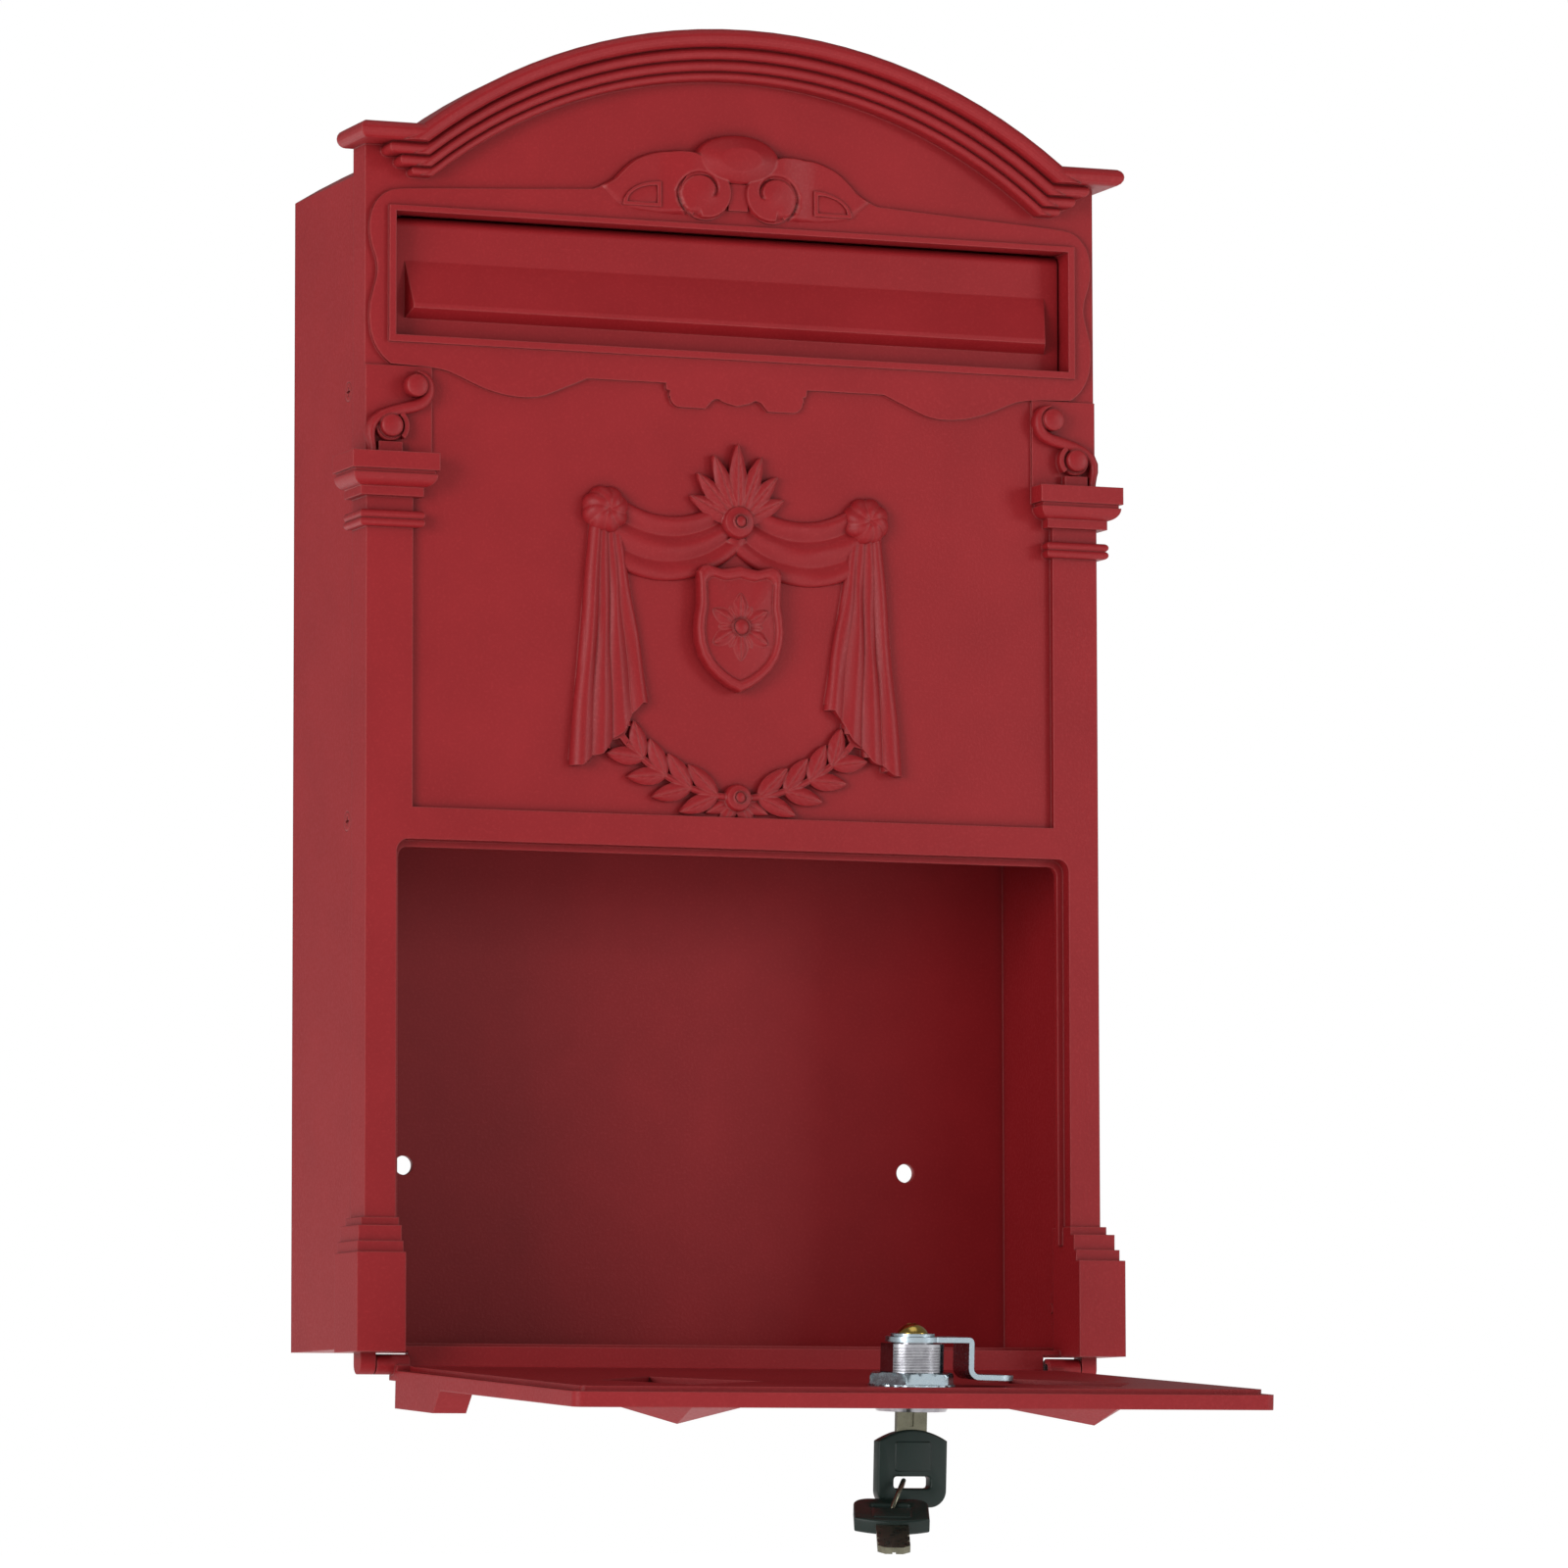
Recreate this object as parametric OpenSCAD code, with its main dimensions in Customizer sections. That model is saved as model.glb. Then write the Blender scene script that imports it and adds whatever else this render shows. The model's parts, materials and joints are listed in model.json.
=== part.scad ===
// Wall letter box with a cast front: arched pediment, top hung letter flap, crest relief
// and a drop down door with a cam lock. X runs to the right, the wall is at the back (+Y),
// Z is up. The door stands open and a key hangs in its lock.

/* [Back box] */
// Width of the sheet metal back box
box_w = 242.4; // [200:0.2:300]
// Depth of the back box, from the wall to the joint with the front casting
box_depth = 58.5; // [45:0.5:90]
// Height of the eaves, where the side walls meet the curved roof
eave_h = 361.8; // [352:0.2:366]
// Rise of the roof above the eaves
roof_rise = 35.4; // [25:0.2:40]
// Sheet thickness of the back box
sheet_t = 1.8; // [1:0.1:3]
// Height of the box floor above the foot of the columns
floor_h = 1.3; // [1:0.1:3]

/* [Wall fixing] */
// Diameter of the four wall holes
wall_hole_d = 6; // [4:0.5:8]
// Distance between the wall holes, side to side
wall_hole_x = 170; // [120:1:200]
// Distance between the wall holes, up and down
wall_hole_z = 270; // [200:1:290]
// Height of the middle of the wall holes above the foot of the columns
mount_h = 195; // [170:1:215]

/* [Front casting] */
// How far the casting stands out past the back box on each side
front_lap = 0.8; // [0.4:0.1:2]
// Depth of the casting, from the joint to the rim of the letter slot
front_depth = 13.5; // [12:0.1:18]
// Wall thickness of the casting
wall_t = 2.5; // [2:0.1:3.5]
// How far the sunk panels lie behind the rim of the letter slot
field_set = 2.5; // [1.5:0.1:3.2]
// How far the column shafts lie behind the rim of the letter slot
shaft_set = 0.5; // [0.2:0.1:1]
// Width of a column shaft
shaft_w = 15.2; // [12:0.1:18]

/* [Pediment] */
// Distance from the side of the casting to the shoulder, where the arch starts
arch_shoulder = 15.2; // [12:0.1:18]
// Top of the arch
arch_top = 411.4; // [405:0.1:420]
// Top of the level cornice ends
cornice_h = 375.2; // [372:0.1:380]
// How far the cornice ends stand out past the side of the casting
cornice_side = 5.5; // [3:0.1:9]
// How far the cornice stands forward of the slot rim
cornice_reach = 10.5; // [8:0.1:14]
// Thickness of the round nosed top moulding
roll_t = 5.5; // [4:0.1:7]

/* [Letter slot] */
// Distance from the side of the casting to the slot rim
slot_side = 7.2; // [6:0.1:30]
// Bottom of the slot rim
slot_low = 308.7; // [304:0.1:312]
// Top of the slot rim
slot_high = 351; // [347:0.1:353]
// Width of the rim bar
rim_w = 2.2; // [1.6:0.1:3]
// Depth of the slot recess, from the rim to the flap stop
slot_depth = 10; // [9.8:0.1:12]

/* [Letter flap] */
// Running gap round the flap
flap_gap = 0.6; // [0.4:0.05:1]
// Thickness of the flap
flap_t = 2.2; // [1.8:0.1:2.6]
// Radius of the rolled top edge that turns on the rod
flap_roll_r = 3.1; // [2.8:0.05:3.3]
// Gap between the rolled top edge and the top of the slot
flap_top_gap = 0.4; // [0.3:0.1:1]
// Diameter of the flap rod
rod_d = 2.6; // [2:0.1:3]
// How far the finger ledge stands forward of the flap
ledge_reach = 4.4; // [3:0.1:6]
// Running clearance of pins and rods, on the radius
pin_gap = 0.05; // [0.02:0.01:0.1]

/* [Door] */
// Angle that the door stands open
door_open = 93.3; // [0:0.1:93.3]
// Distance from the side of the casting to the door opening
window_side = 10.1; // [9:0.1:18]
// Top of the door opening
window_h = 156.1; // [150:0.1:158]
// Gap between the door and its opening
door_gap = 1.2; // [0.8:0.1:2]
// Thickness of the door rim
door_t = 4.5; // [3.6:0.1:4.5]
// Thickness of the raised plate on the inside of the door
inner_plate_t = 1.5; // [1:0.1:1.5]
// Height of the door hinge axis, below the foot of the columns
hinge_drop = 3.6; // [3.4:0.1:4.2]
// Distance of the door hinge axis behind the slot rim
hinge_set = 6.9; // [6.6:0.1:7.2]
// Outer radius of the hinge knuckles
knuckle_r = 3.1; // [2.6:0.1:3.1]
// Diameter of the hinge pins
hinge_pin_d = 3; // [2:0.1:3.4]

/* [Lock] */
// Height of the lock axis above the foot of the columns, with the door shut
lock_h = 139.4; // [130:0.1:139.8]
// Diameter of the threaded lock barrel
barrel_d = 18.6; // [16:0.1:19]
// Width over the flats of the barrel
barrel_flats = 16; // [14:0.1:17]
// Length of the barrel behind the door
barrel_len = 12.4; // [10:0.1:16]
// Width over the flats of the hex nut
nut_af = 23; // [22:0.5:24]
// Thickness of the hex nut
nut_t = 4; // [3:0.1:5]
// Diameter of the turning lock plug
plug_d = 12.4; // [11:0.1:13]
// Reach of the cam from the lock axis to its tip
cam_reach = 31.8; // [28:0.1:36]
// Distance from the lock axis to the bend of the cam
cam_bend = 18; // [16:0.1:20]
// Thickness of the cam plate
cam_t = 1.6; // [1.2:0.1:2]
// Width of the cam
cam_w = 12; // [10:0.1:14]
// Height of the cam tip over the door
cam_tip_lift = 1.8; // [1.6:0.1:2.5]

/* [Keys] */
// Width of a key blade
blade_w = 9.4; // [8:0.1:10]
// Thickness of a key blade
blade_t = 2; // [1.6:0.1:2.2]
// Length of a key blade, from its bow to its tip
blade_len = 22; // [18:0.5:22]
// Width of a key bow
bow_w = 23.2; // [20:0.2:26]
// Length of a key bow
bow_len = 22.9; // [20:0.1:26]
// Thickness of a key bow
bow_t = 4.6; // [4:0.1:5]
// Mean radius of the key ring
ring_r = 10; // [9.6:0.1:12]
// Wire diameter of the key ring
ring_wire_d = 1.4; // [1:0.1:1.6]

/* [Hidden] */

$fn = 64;
paint = "#8b2d31";
steel = "#b9bcbf";
brass = "#c8a24e";
plastic = "#1d1f20";
eps = 0.01;
over = 1;

// Depths are counted from the rim of the letter slot, positive towards the wall.
rim_y = -(box_depth + front_depth);
inner_set = field_set + wall_t;
front_w = box_w + 2 * front_lap;
half_w = front_w / 2;
shaft_in = half_w - shaft_w;
cornice_w = front_w + 2 * cornice_side;
slot_w = front_w - 2 * slot_side;
window_w = front_w - 2 * window_side;

arch_rise = arch_top - cornice_h;
arch_r = (pow(half_w - arch_shoulder, 2) + arch_rise * arch_rise) / (2 * arch_rise);
arch_z = arch_top - arch_r;
roof_r = (pow(box_w / 2, 2) + roof_rise * roof_rise) / (2 * roof_rise);
roof_z = eave_h + roof_rise - roof_r;
bead_t = [3.6, 3.3, 2.7];
bead_reach = [7, 5, 3];
bead_end = [5, 9, 13.4];
cornice_low = cornice_h - roll_t;

slot_in_w = slot_w - 2 * rim_w;
slot_in_low = slot_low + rim_w;
slot_in_high = slot_high - rim_w + 0.4;
flap_axis_h = slot_in_high - flap_roll_r - flap_top_gap;
stop_lip = 5;

window_r = 4;
ledge_set = shaft_set + door_t + 0.3;
ledge_w = 2.1;
ledge_back = ledge_set + 2.2;
ledge_foot = 35;
rail_h = 9.8;
panel_low = window_h + rail_h;

plinth_h = [30, 33.4, 38.2, 40.7];
plinth_side = [5, 4.1, 3.2, 1.5];
plinth_front = [7.9, 5.5, 3.8, 1.3];
plinth_in = window_w / 2 - 0.6;

cap_low = 251.4;
cap_top = 274;
sill_top = 2.1;
sill_low = -4.5;
ear_in = half_w - 5;

door_half = window_w / 2 - door_gap;
door_top = window_h - door_gap;
door_low = -0.3;
door_in_set = shaft_set + 0.1 + door_t;
plate_in_set = door_in_set + inner_plate_t;
knuckle_w = 4.7;
knuckle_in = door_half - knuckle_w;
knuckle_out = ear_in - 0.4;

flap_front = flap_set() - flap_roll_r;
function flap_set() = slot_depth - 0.3 - flap_t + flap_roll_r;

lock_face = -0.7;
cam_low = plate_in_set + cam_tip_lift;
cam_top = plate_in_set + barrel_len + 0.4;
key_gap = 0.15;
bow_start = 6.1;
slot_hole_w = 12;
slot_hole_h = 4;
slot_hole_end = 7.4;
ring_rest = 0.3;
ring_x = -2;
spare_yaw = 21;
spare_tilt = 14;

// The ring passes through both keys' holes. ring_along points from one hole to the other,
// ring_across is square to it in the ring's plane, ring_axis is the plane's normal.
ring_turn = 52;
ring_along = unit([-7.7, 9.9, 8]);
ring_axis = unit([1, 0, 0] - ring_along[0] * ring_along);
ring_across = cross(ring_axis, ring_along);
ring_chord = 2 * ring_r * sin(ring_turn) * ring_along;
ring_middle = ring_r * (sin(ring_turn) * ring_along + cos(ring_turn) * ring_across);
function unit(v) = v / norm(v);

screw_set = 20;
screw_h = [15.6, 162.5, 295.2];
screw_d = 3.2;
screw_head_d = 6;

// Draws an outline (x to the right, y up) as a plate between two depths.
module plate(back, front) {
    translate([0, rim_y + back, 0])
        rotate([90, 0, 0])
            linear_extrude(back - front)
                children();
}

// Draws an outline (x is depth, y is height) as a bar between two places along X.
module bar_x(x0, x1) {
    translate([x0, rim_y, 0])
        rotate([90, 0, 90])
            linear_extrude(x1 - x0)
                children();
}

module both_sides() {
    children();
    mirror([1, 0, 0])
        children();
}

// A box between two corners.
module block(low, high) {
    translate(low)
        cube(high - low);
}

// A box whose Y values are depths behind the slot rim.
module set_block(x0, x1, back, front, z0, z1) {
    block([x0, rim_y + front, z0], [x1, rim_y + back, z1]);
}

// A smooth curve through given points, as a list of points.
function curve_point(p, t) =
    0.5 * ((2 * p[1]) + (p[2] - p[0]) * t
        + (2 * p[0] - 5 * p[1] + 4 * p[2] - p[3]) * t * t
        + (3 * p[1] - p[0] - 3 * p[2] + p[3]) * t * t * t);
function curve(p, steps = 4) = [
    for (i = [0 : len(p) - 2], k = [0 : steps - 1])
        curve_point([p[max(i - 1, 0)], p[i], p[i + 1], p[min(i + 2, len(p) - 1)]], k / steps),
    p[len(p) - 1]
];
function arc(cx, cy, r, a0, a1, steps = 8) = [
    for (i = [0 : steps])
        let (a = a0 + (a1 - a0) * i / steps)
            [cx + r * cos(a), cy + r * sin(a)]
];
function mirrored(p) = [for (i = [len(p) - 1 : -1 : 0]) [-p[i][0], p[i][1]]];

// The outline of the back box, shrunk by its wall for the inside.
module box_outline(inset) {
    translate([-box_w / 2 + inset, floor_h + inset])
        square([box_w - 2 * inset, eave_h - floor_h - inset]);
    intersection() {
        translate([0, roof_z])
            circle(roof_r - inset);
        translate([-box_w / 2 + inset, eave_h - inset - over])
            square([box_w - 2 * inset, roof_rise + 2 * over]);
    }
}

module side_screw_places() {
    for (z = screw_h)
        translate([0, rim_y + screw_set, z])
            children();
}

module back_box() {
    color(paint)
        difference() {
            rotate([90, 0, 0])
                linear_extrude(box_depth)
                    box_outline(0);
            translate([0, -sheet_t, 0])
                rotate([90, 0, 0])
                    linear_extrude(box_depth)
                        box_outline(sheet_t);
            for (x = [-1, 1], z = [-1, 1])
                translate([x * wall_hole_x / 2, 0, mount_h + z * wall_hole_z / 2])
                    rotate([90, 0, 0])
                        cylinder(d = wall_hole_d, h = 3 * sheet_t, center = true);
            both_sides()
                side_screw_places()
                    rotate([0, 90, 0])
                        cylinder(d = screw_d + 0.3, h = box_w);
            both_sides()
                side_screw_places()
                    translate([box_w / 2 - sheet_t - eps, 0, 0])
                        rotate([0, 90, 0])
                            cylinder(d1 = screw_d + 0.2, d2 = screw_head_d + 0.2, h = sheet_t + 2 * eps);
        }
}

// The wall of the front casting as an outline, without its mouldings. The outer one ends a
// little inside the top roll.
module front_outline(inset) {
    low = inset == 0 ? 0 : sill_top;
    lap = inset == 0 ? over : -inset;
    translate([-half_w + inset, low])
        square([front_w - 2 * inset, cornice_low + lap - low]);
    intersection() {
        translate([0, arch_z])
            circle(arch_r - roll_t + lap);
        translate([-half_w, cornice_low + lap - over])
            square([front_w, arch_top]);
    }
}

module rounded_rect(w, low, high, r) {
    translate([-w / 2 + r, low])
        square([w - 2 * r, high - low]);
    translate([-w / 2, low + r])
        square([w, high - low - 2 * r]);
    for (x = [-1, 1], z = [low + r, high - r])
        translate([x * (w / 2 - r), z])
            circle(r);
}

module window_outline(grow, foot) {
    difference() {
        rounded_rect(window_w + 2 * grow, -10, window_h + grow, window_r + grow / 2);
        translate([-half_w, -20])
            square([front_w, 20 + foot]);
    }
}

// The tray: a flat face with a wall turned back round its edge.
module tray() {
    difference() {
        plate(front_depth, field_set)
            front_outline(0);
        plate(front_depth + over, inner_set)
            front_outline(wall_t);
        plate(front_depth + over, -over)
            window_outline(0, sill_top);
        set_block(-window_w / 2, window_w / 2, ledge_back + 0.3, -over, -over, sill_top + over);
        plate(front_depth + over, -over)
            translate([-slot_in_w / 2, slot_in_low])
                square([slot_in_w, slot_in_high - slot_in_low]);
    }
}

// The rebate that the shut door lies against, and the sill under it.
module window_frame() {
    difference() {
        plate(ledge_back, field_set + eps)
            window_outline(wall_t, 0);
        plate(ledge_set, -over)
            window_outline(0, -over);
        plate(front_depth, 0)
            window_outline(-ledge_w, -over);
        set_block(-window_w / 2, window_w / 2, front_depth, 0, -over, ledge_foot);
    }
    set_block(-window_w / 2, window_w / 2, front_depth, ledge_back + 0.1, sill_top - 1.5, sill_top);
    set_block(-knuckle_in + 0.6, knuckle_in - 0.6, ledge_back + 2.6, ledge_back + 0.1, sill_low, sill_top);
}

module shafts() {
    both_sides() {
        set_block(shaft_in, half_w, field_set + eps, shaft_set, panel_low, cap_top);
        set_block(window_w / 2, half_w, field_set + eps, shaft_set, 0, panel_low);
    }
    plate(field_set + eps, shaft_set)
        difference() {
            translate([-half_w, window_h - 2 * window_r])
                square([front_w, rail_h + 2 * window_r]);
            window_outline(0, 0);
        }
}

module plinths() {
    both_sides()
        for (i = [0 : 3])
            set_block(plinth_in, half_w + plinth_side[i], front_depth, shaft_set - plinth_front[i],
                i == 0 ? 0 : plinth_h[i - 1] - over, plinth_h[i]);
}

// A capital is the meeting of its front view and its side view, so its corners are mitred.
capital_steps = [[274, 268.6, 6.5], [268.6, 267.2, 5.4], [263.6, 260.8, 2.6]];
module capital_profile() {
    for (s = capital_steps)
        translate([0, s[1]])
            square([s[2], s[0] - s[1]]);
    translate([0, 263.6])
        square([2.6, 3.8]);
    intersection() {
        translate([2.2, 267.4])
            circle(3.8);
        translate([0, 263.6])
            square([6, 3.8]);
    }
    for (z = [255.1, 252.7])
        translate([1.6, z])
            circle(1.3);
    translate([0, cap_low])
        square([1.6, 5]);
}

module capitals() {
    both_sides()
        intersection() {
            union() {
                translate([half_w - over, 0])
                    plate_side_profile();
                set_block(shaft_in, half_w, front_depth, shaft_set - 8, cap_low - over, 275);
                translate([shaft_in + over, 0])
                    mirror([1, 0, 0])
                        plate_side_profile();
            }
            union() {
                bar_x(half_w - shaft_w - 8, half_w + 8)
                    translate([shaft_set + over, 0])
                        mirror([1, 0])
                            grown_profile();
                set_block(half_w - shaft_w - 8, half_w + 8, front_depth, shaft_set, cap_low, cap_top);
            }
        }
}

module grown_profile() {
    translate([over, 0])
        capital_profile();
    translate([0, cap_low])
        square([over, cap_top - cap_low]);
}

module plate_side_profile() {
    plate(front_depth, shaft_set - 8)
        grown_profile();
}

// The section of one cornice level: a bar with a round nose.
nose_steps = 8;
end_step = 0.06;
module nosed_bar(len, t) {
    polygon(concat([[0, 0]], arc(len - t / 2, t / 2, t / 2, -90, 90, nose_steps), [[0, t]]));
}

module cornice_end(x0, x1, back, reach, z0, t) {
    intersection() {
        translate([x0, rim_y + back, z0])
            rotate([90, 0, 0])
                linear_extrude(back + reach + over)
                    nosed_bar(x1 - x0, t);
        translate([x0 - over, rim_y + back, z0])
            rotate([90, 0, 90])
                linear_extrude(x1 - x0 + 2 * over)
                    mirror([1, 0])
                        nosed_bar(back + reach, t);
    }
}

module cornice_arch(r, back, reach, t, z0) {
    sweep = acos((z0 - arch_z) / r) + 1;
    intersection() {
        translate([0, rim_y, arch_z])
            rotate([90, 0, 0])
                rotate([0, 0, 90 - sweep])
                    rotate_extrude(angle = 2 * sweep, $fn = 180)
                        translate([r - t, 0])
                            rotate([0, 0, 90])
                                mirror([0, 1])
                                    translate([-back, 0])
                                        nosed_bar(back + reach, t);
        block([-half_w - 10, rim_y - 30, z0], [half_w + 10, rim_y + 30, arch_top + 10]);
    }
}

// The top roll reaches back to the joint, the beads under it stand on the face.
module pediment() {
    drops = [0, roll_t, roll_t + bead_t[0], roll_t + bead_t[0] + bead_t[1]];
    for (i = [0 : 3]) {
        t = i == 0 ? roll_t : bead_t[i - 1];
        reach = i == 0 ? cornice_reach : bead_reach[i - 1];
        end = i == 0 ? cornice_w / 2 : half_w - bead_end[i - 1];
        back = i == 0 ? front_depth : field_set + 0.4 + 0.3 * i;
        low = cornice_h - drops[i] - t;
        lap = i == 0 ? 0 : end_step;
        foot_in = sqrt(pow(arch_r - drops[i] - t, 2) - pow(low - arch_z, 2));
        head_out = sqrt(pow(arch_r - drops[i], 2) - pow(low + t - arch_z, 2));
        cornice_arch(arch_r - drops[i] + lap, back, reach, t + lap, low + end_step / 2);
        both_sides()
            cornice_end((foot_in + head_out) / 2, end, back - end_step, reach - end_step, low, t + lap);
    }
}

// Half of the plate that frames the slot, from the middle of its top round to its bottom. It
// is drawn for a casting and a slot of these sizes, and follows the real ones.
drawn_half_w = 122;
drawn_slot = [308.7, 351];
function fitted(p) = [
    for (q = p) [
        q[0] * half_w / drawn_half_w,
        q[1] + (q[1] > (drawn_slot[0] + drawn_slot[1]) / 2 ? slot_high - drawn_slot[1] : slot_low - drawn_slot[0])
    ]
];
cartouche_half = concat(
    curve([
        [9, 371], [13, 373.2], [19, 373.6], [26, 372.6], [31, 370.4], [35, 366.4], [39.5, 363.4], [47.5, 360]
    ], 4),
    curve([[70, 358.6], [100, 357], [111.2, 356.2]], 2),
    curve([
        [113.8, 355.7], [116.2, 354.5], [118.5, 352.1], [120, 349.2], [120.7, 345.6], [120.7, 341.9],
        [119.9, 338], [118.8, 334.7], [118.2, 331.4], [118.5, 328.4], [119.4, 325], [120.5, 320.6]
    ], 2),
    curve([[120.8, 317.2], [120.3, 311.6], [118.7, 307.2], [116.3, 304], [113.7, 301.9]], 2),
    curve([[102.6, 301.5], [95, 300.4], [84, 296], [75, 293.9], [66, 294], [58, 297], [49.6, 300.6]], 3),
    [[23.6, 300.6], [23.4, 298.6], [22.2, 298.2], [22.6, 296.4]],
    arc(18.8, 296.6, 3.4, 0, -90, 5),
    [[10.4, 293.2]],
    curve([[8.4, 295.6], [6.4, 296.4], [4.2, 295.4], [0, 294.4]], 3)
);

module cartouche() {
    other_half = mirrored([for (p = cartouche_half) if (p[0] > 0) p]);
    plate(field_set + eps, 1.2)
        polygon(fitted(concat([[0, 371]], cartouche_half, other_half)));
}

module slot_frame() {
    difference() {
        plate(slot_depth + 1.6, 0)
            translate([-slot_w / 2, slot_low])
                square([slot_w, slot_high - slot_low]);
        plate(slot_depth, -over)
            translate([-slot_in_w / 2, slot_in_low])
                square([slot_in_w, slot_in_high - slot_in_low]);
        plate(slot_depth + 3, slot_depth - over)
            translate([-slot_in_w / 2 + stop_lip, slot_in_low + stop_lip])
                square([slot_in_w - 2 * stop_lip, slot_in_high - slot_in_low]);
        plate(slot_depth + 3, slot_depth - over)
            translate([-slot_in_w / 2, flap_axis_h - 2 * flap_roll_r])
                square([slot_in_w, slot_in_high - flap_axis_h + 2 * flap_roll_r]);
        translate([0, rim_y + flap_set(), flap_axis_h])
            rotate([0, 90, 0])
                cylinder(d = rod_d + 2 * pin_gap, h = slot_w + 10, center = true);
    }
    both_sides()
        difference() {
            set_block(slot_in_w / 2, slot_w / 2, slot_depth + 5.5, slot_depth, flap_axis_h - 5, slot_high);
            translate([0, rim_y + flap_set(), flap_axis_h])
                rotate([0, 90, 0])
                    cylinder(d = rod_d + 2 * pin_gap, h = slot_w + 10);
        }
}

// A flat spiral band, wound inwards and getting thinner, with a round eye in its middle.
volute_x = 11.2;
volute_z = slot_high + 9.8;
volute_r = 8.5;
volute_turns = 800;
function volute_at(a, inner) =
    let (r = volute_r - 5.9 * a / volute_turns - (inner ? 2 - 0.9 * a / volute_turns : 0))
        [volute_x + r * cos(a - 60), volute_z + r * sin(a - 60)];
module volute() {
    steps = [for (a = [0 : 20 : volute_turns]) a];
    translate([volute_x, rim_y + 1.4, volute_z])
        rotate([90, 0, 0])
            cylinder(r = volute_r + 0.1, h = 1.1);
    plate(0.4, -0.4)
        polygon(concat(
            [for (a = steps) volute_at(a, false)],
            [for (i = [len(steps) - 1 : -1 : 0]) volute_at(steps[i], true)]
        ));
    translate([volute_x, rim_y + 0.5, volute_z])
        sphere(r = 1.7, $fn = 24);
}

// The faceted shell between the volutes, with a short stem below it.
shell_steps = 10;
shell_ring = [for (i = [0 : shell_steps - 1]) [cos(36 * i + 18), sin(36 * i + 18)]];
module keystone() {
    polyhedron(
        points = concat(
            [for (p = shell_ring) [13.4 * p[0], rim_y + 2.2, slot_high + 20.6 + 7.6 * p[1]]],
            [for (p = shell_ring) [5.6 * p[0], rim_y - 3.4, slot_high + 19.2 + 3.4 * p[1]]]
        ),
        faces = concat(
            [[for (i = [0 : shell_steps - 1]) i]],
            [[for (i = [shell_steps - 1 : -1 : 0]) shell_steps + i]],
            [
                for (i = [0 : shell_steps - 1]) let (n = (i + 1) % shell_steps)
                    [shell_steps + i, shell_steps + n, n, i]
            ]
        )
    );
    set_block(-3.2, 3.2, 2, -0.2, slot_high + 4.6, slot_high + 13);
}

// A quarter of an oval, seen from the front, with its square corner at the origin.
function quarter(w, h) = concat([[0, 0]], [for (a = [0 : 15 : 90]) [w * cos(a), h * sin(a)]]);
module darts() {
    both_sides() {
        plate(1.3, -0.2)
            difference() {
                translate([25.6, slot_high + 4.5])
                    polygon(quarter(12.8, 8));
                translate([26.9, slot_high + 5.6])
                    polygon(quarter(10, 5.6));
            }
        plate(1.5, 0.5)
            polygon([
                for (q = [[11, 21.7], [18, 22.2], [23, 21.7], [29.4, 20.3], [34, 17], [39.4, 11.6], [20, 8.2]])
                    [q[0], slot_high + q[1]]
            ]);
    }
}

// The scroll bracket over each capital, drawn from the capital's top outer corner. Its band
// is a line of points with half widths.
scroll_line = [
    [-16.1, 25.7, 0.2], [-17.8, 25.1, 0.5], [-19.3, 23.5, 0.8], [-20, 21.3, 1], [-19.7, 18.6, 1.1],
    [-18.4, 16.5, 1.2], [-16, 15.3, 1.2], [-12.5, 14.2, 1.2], [-8.5, 13.2, 1.1], [-4.8, 11.9, 1.1],
    [-2, 9.9, 1], [-0.9, 7.6, 0.9], [-0.8, 5.2, 0.8], [-1.5, 2.4, 0.7], [-1.8, -0.3, 0.7]
];
function beside(line, i, s) =
    let (a = line[max(0, i - 1)], b = line[min(len(line) - 1, i + 1)])
    let (d = norm([b[0] - a[0], b[1] - a[1]]), w = s * line[i][2] / d)
        [line[i][0] - w * (b[1] - a[1]), line[i][1] + w * (b[0] - a[0])];
function band(line) = concat(
    [for (i = [0 : len(line) - 1]) beside(line, i, 1)],
    [for (i = [len(line) - 1 : -1 : 0]) beside(line, i, -1)]
);
module brackets() {
    both_sides()
        translate([half_w, 0, cap_top]) {
            set_block(-21.6, -eps, field_set + eps, 1.6, -over, slot_low - cap_top - 7.2);
            plate(1.7, -1.1)
                polygon(band(scroll_line));
            scroll_arc(-7.5, 8.5, 4.3, 130, 222);
            roundel(-15.6, 21.2, 3);
            roundel(-7.5, 8.5, 3);
            set_block(-11.3, -3.6, 2, -0.8, -over, 3.6);
        }
}

module scroll_arc(x, z, r, a0, a1) {
    translate([x, rim_y + 1.7, z])
        rotate([90, 0, 0])
            rotate([0, 0, a0])
                rotate_extrude(angle = a1 - a0, $fn = 48)
                    translate([r, 0])
                        square([1.5, 3]);
}

module roundel(x, z, r) {
    translate([x, rim_y + 1.7, z])
        rotate([90, 0, 0]) {
            cylinder(r = r, h = 3.2);
            translate([0, 0, 3.2])
                cylinder(r1 = r, r2 = r * 0.45, h = 1.2);
        }
}

// Relief on the middle panel: a plain shield on a draped cloth, with a palmette above and
// two leafy sprays below.
crest_z = 226;
module leaf_outline(long, w) {
    half = curve([[0, 0], [long * 0.3, w * 0.42], [long * 0.6, w * 0.5], [long, 0]], 3);
    polygon(concat(half, [for (i = [len(half) - 2 : -1 : 1]) [half[i][0], -half[i][1]]]));
}

module leaf(long, w, h) {
    linear_extrude(h)
        leaf_outline(long, w);
}

module on_field(x, z, turn, sink = 0.3) {
    translate([x, rim_y + field_set + sink, z])
        rotate([90, 0, 0])
            rotate([0, 0, turn])
                children();
}

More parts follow.
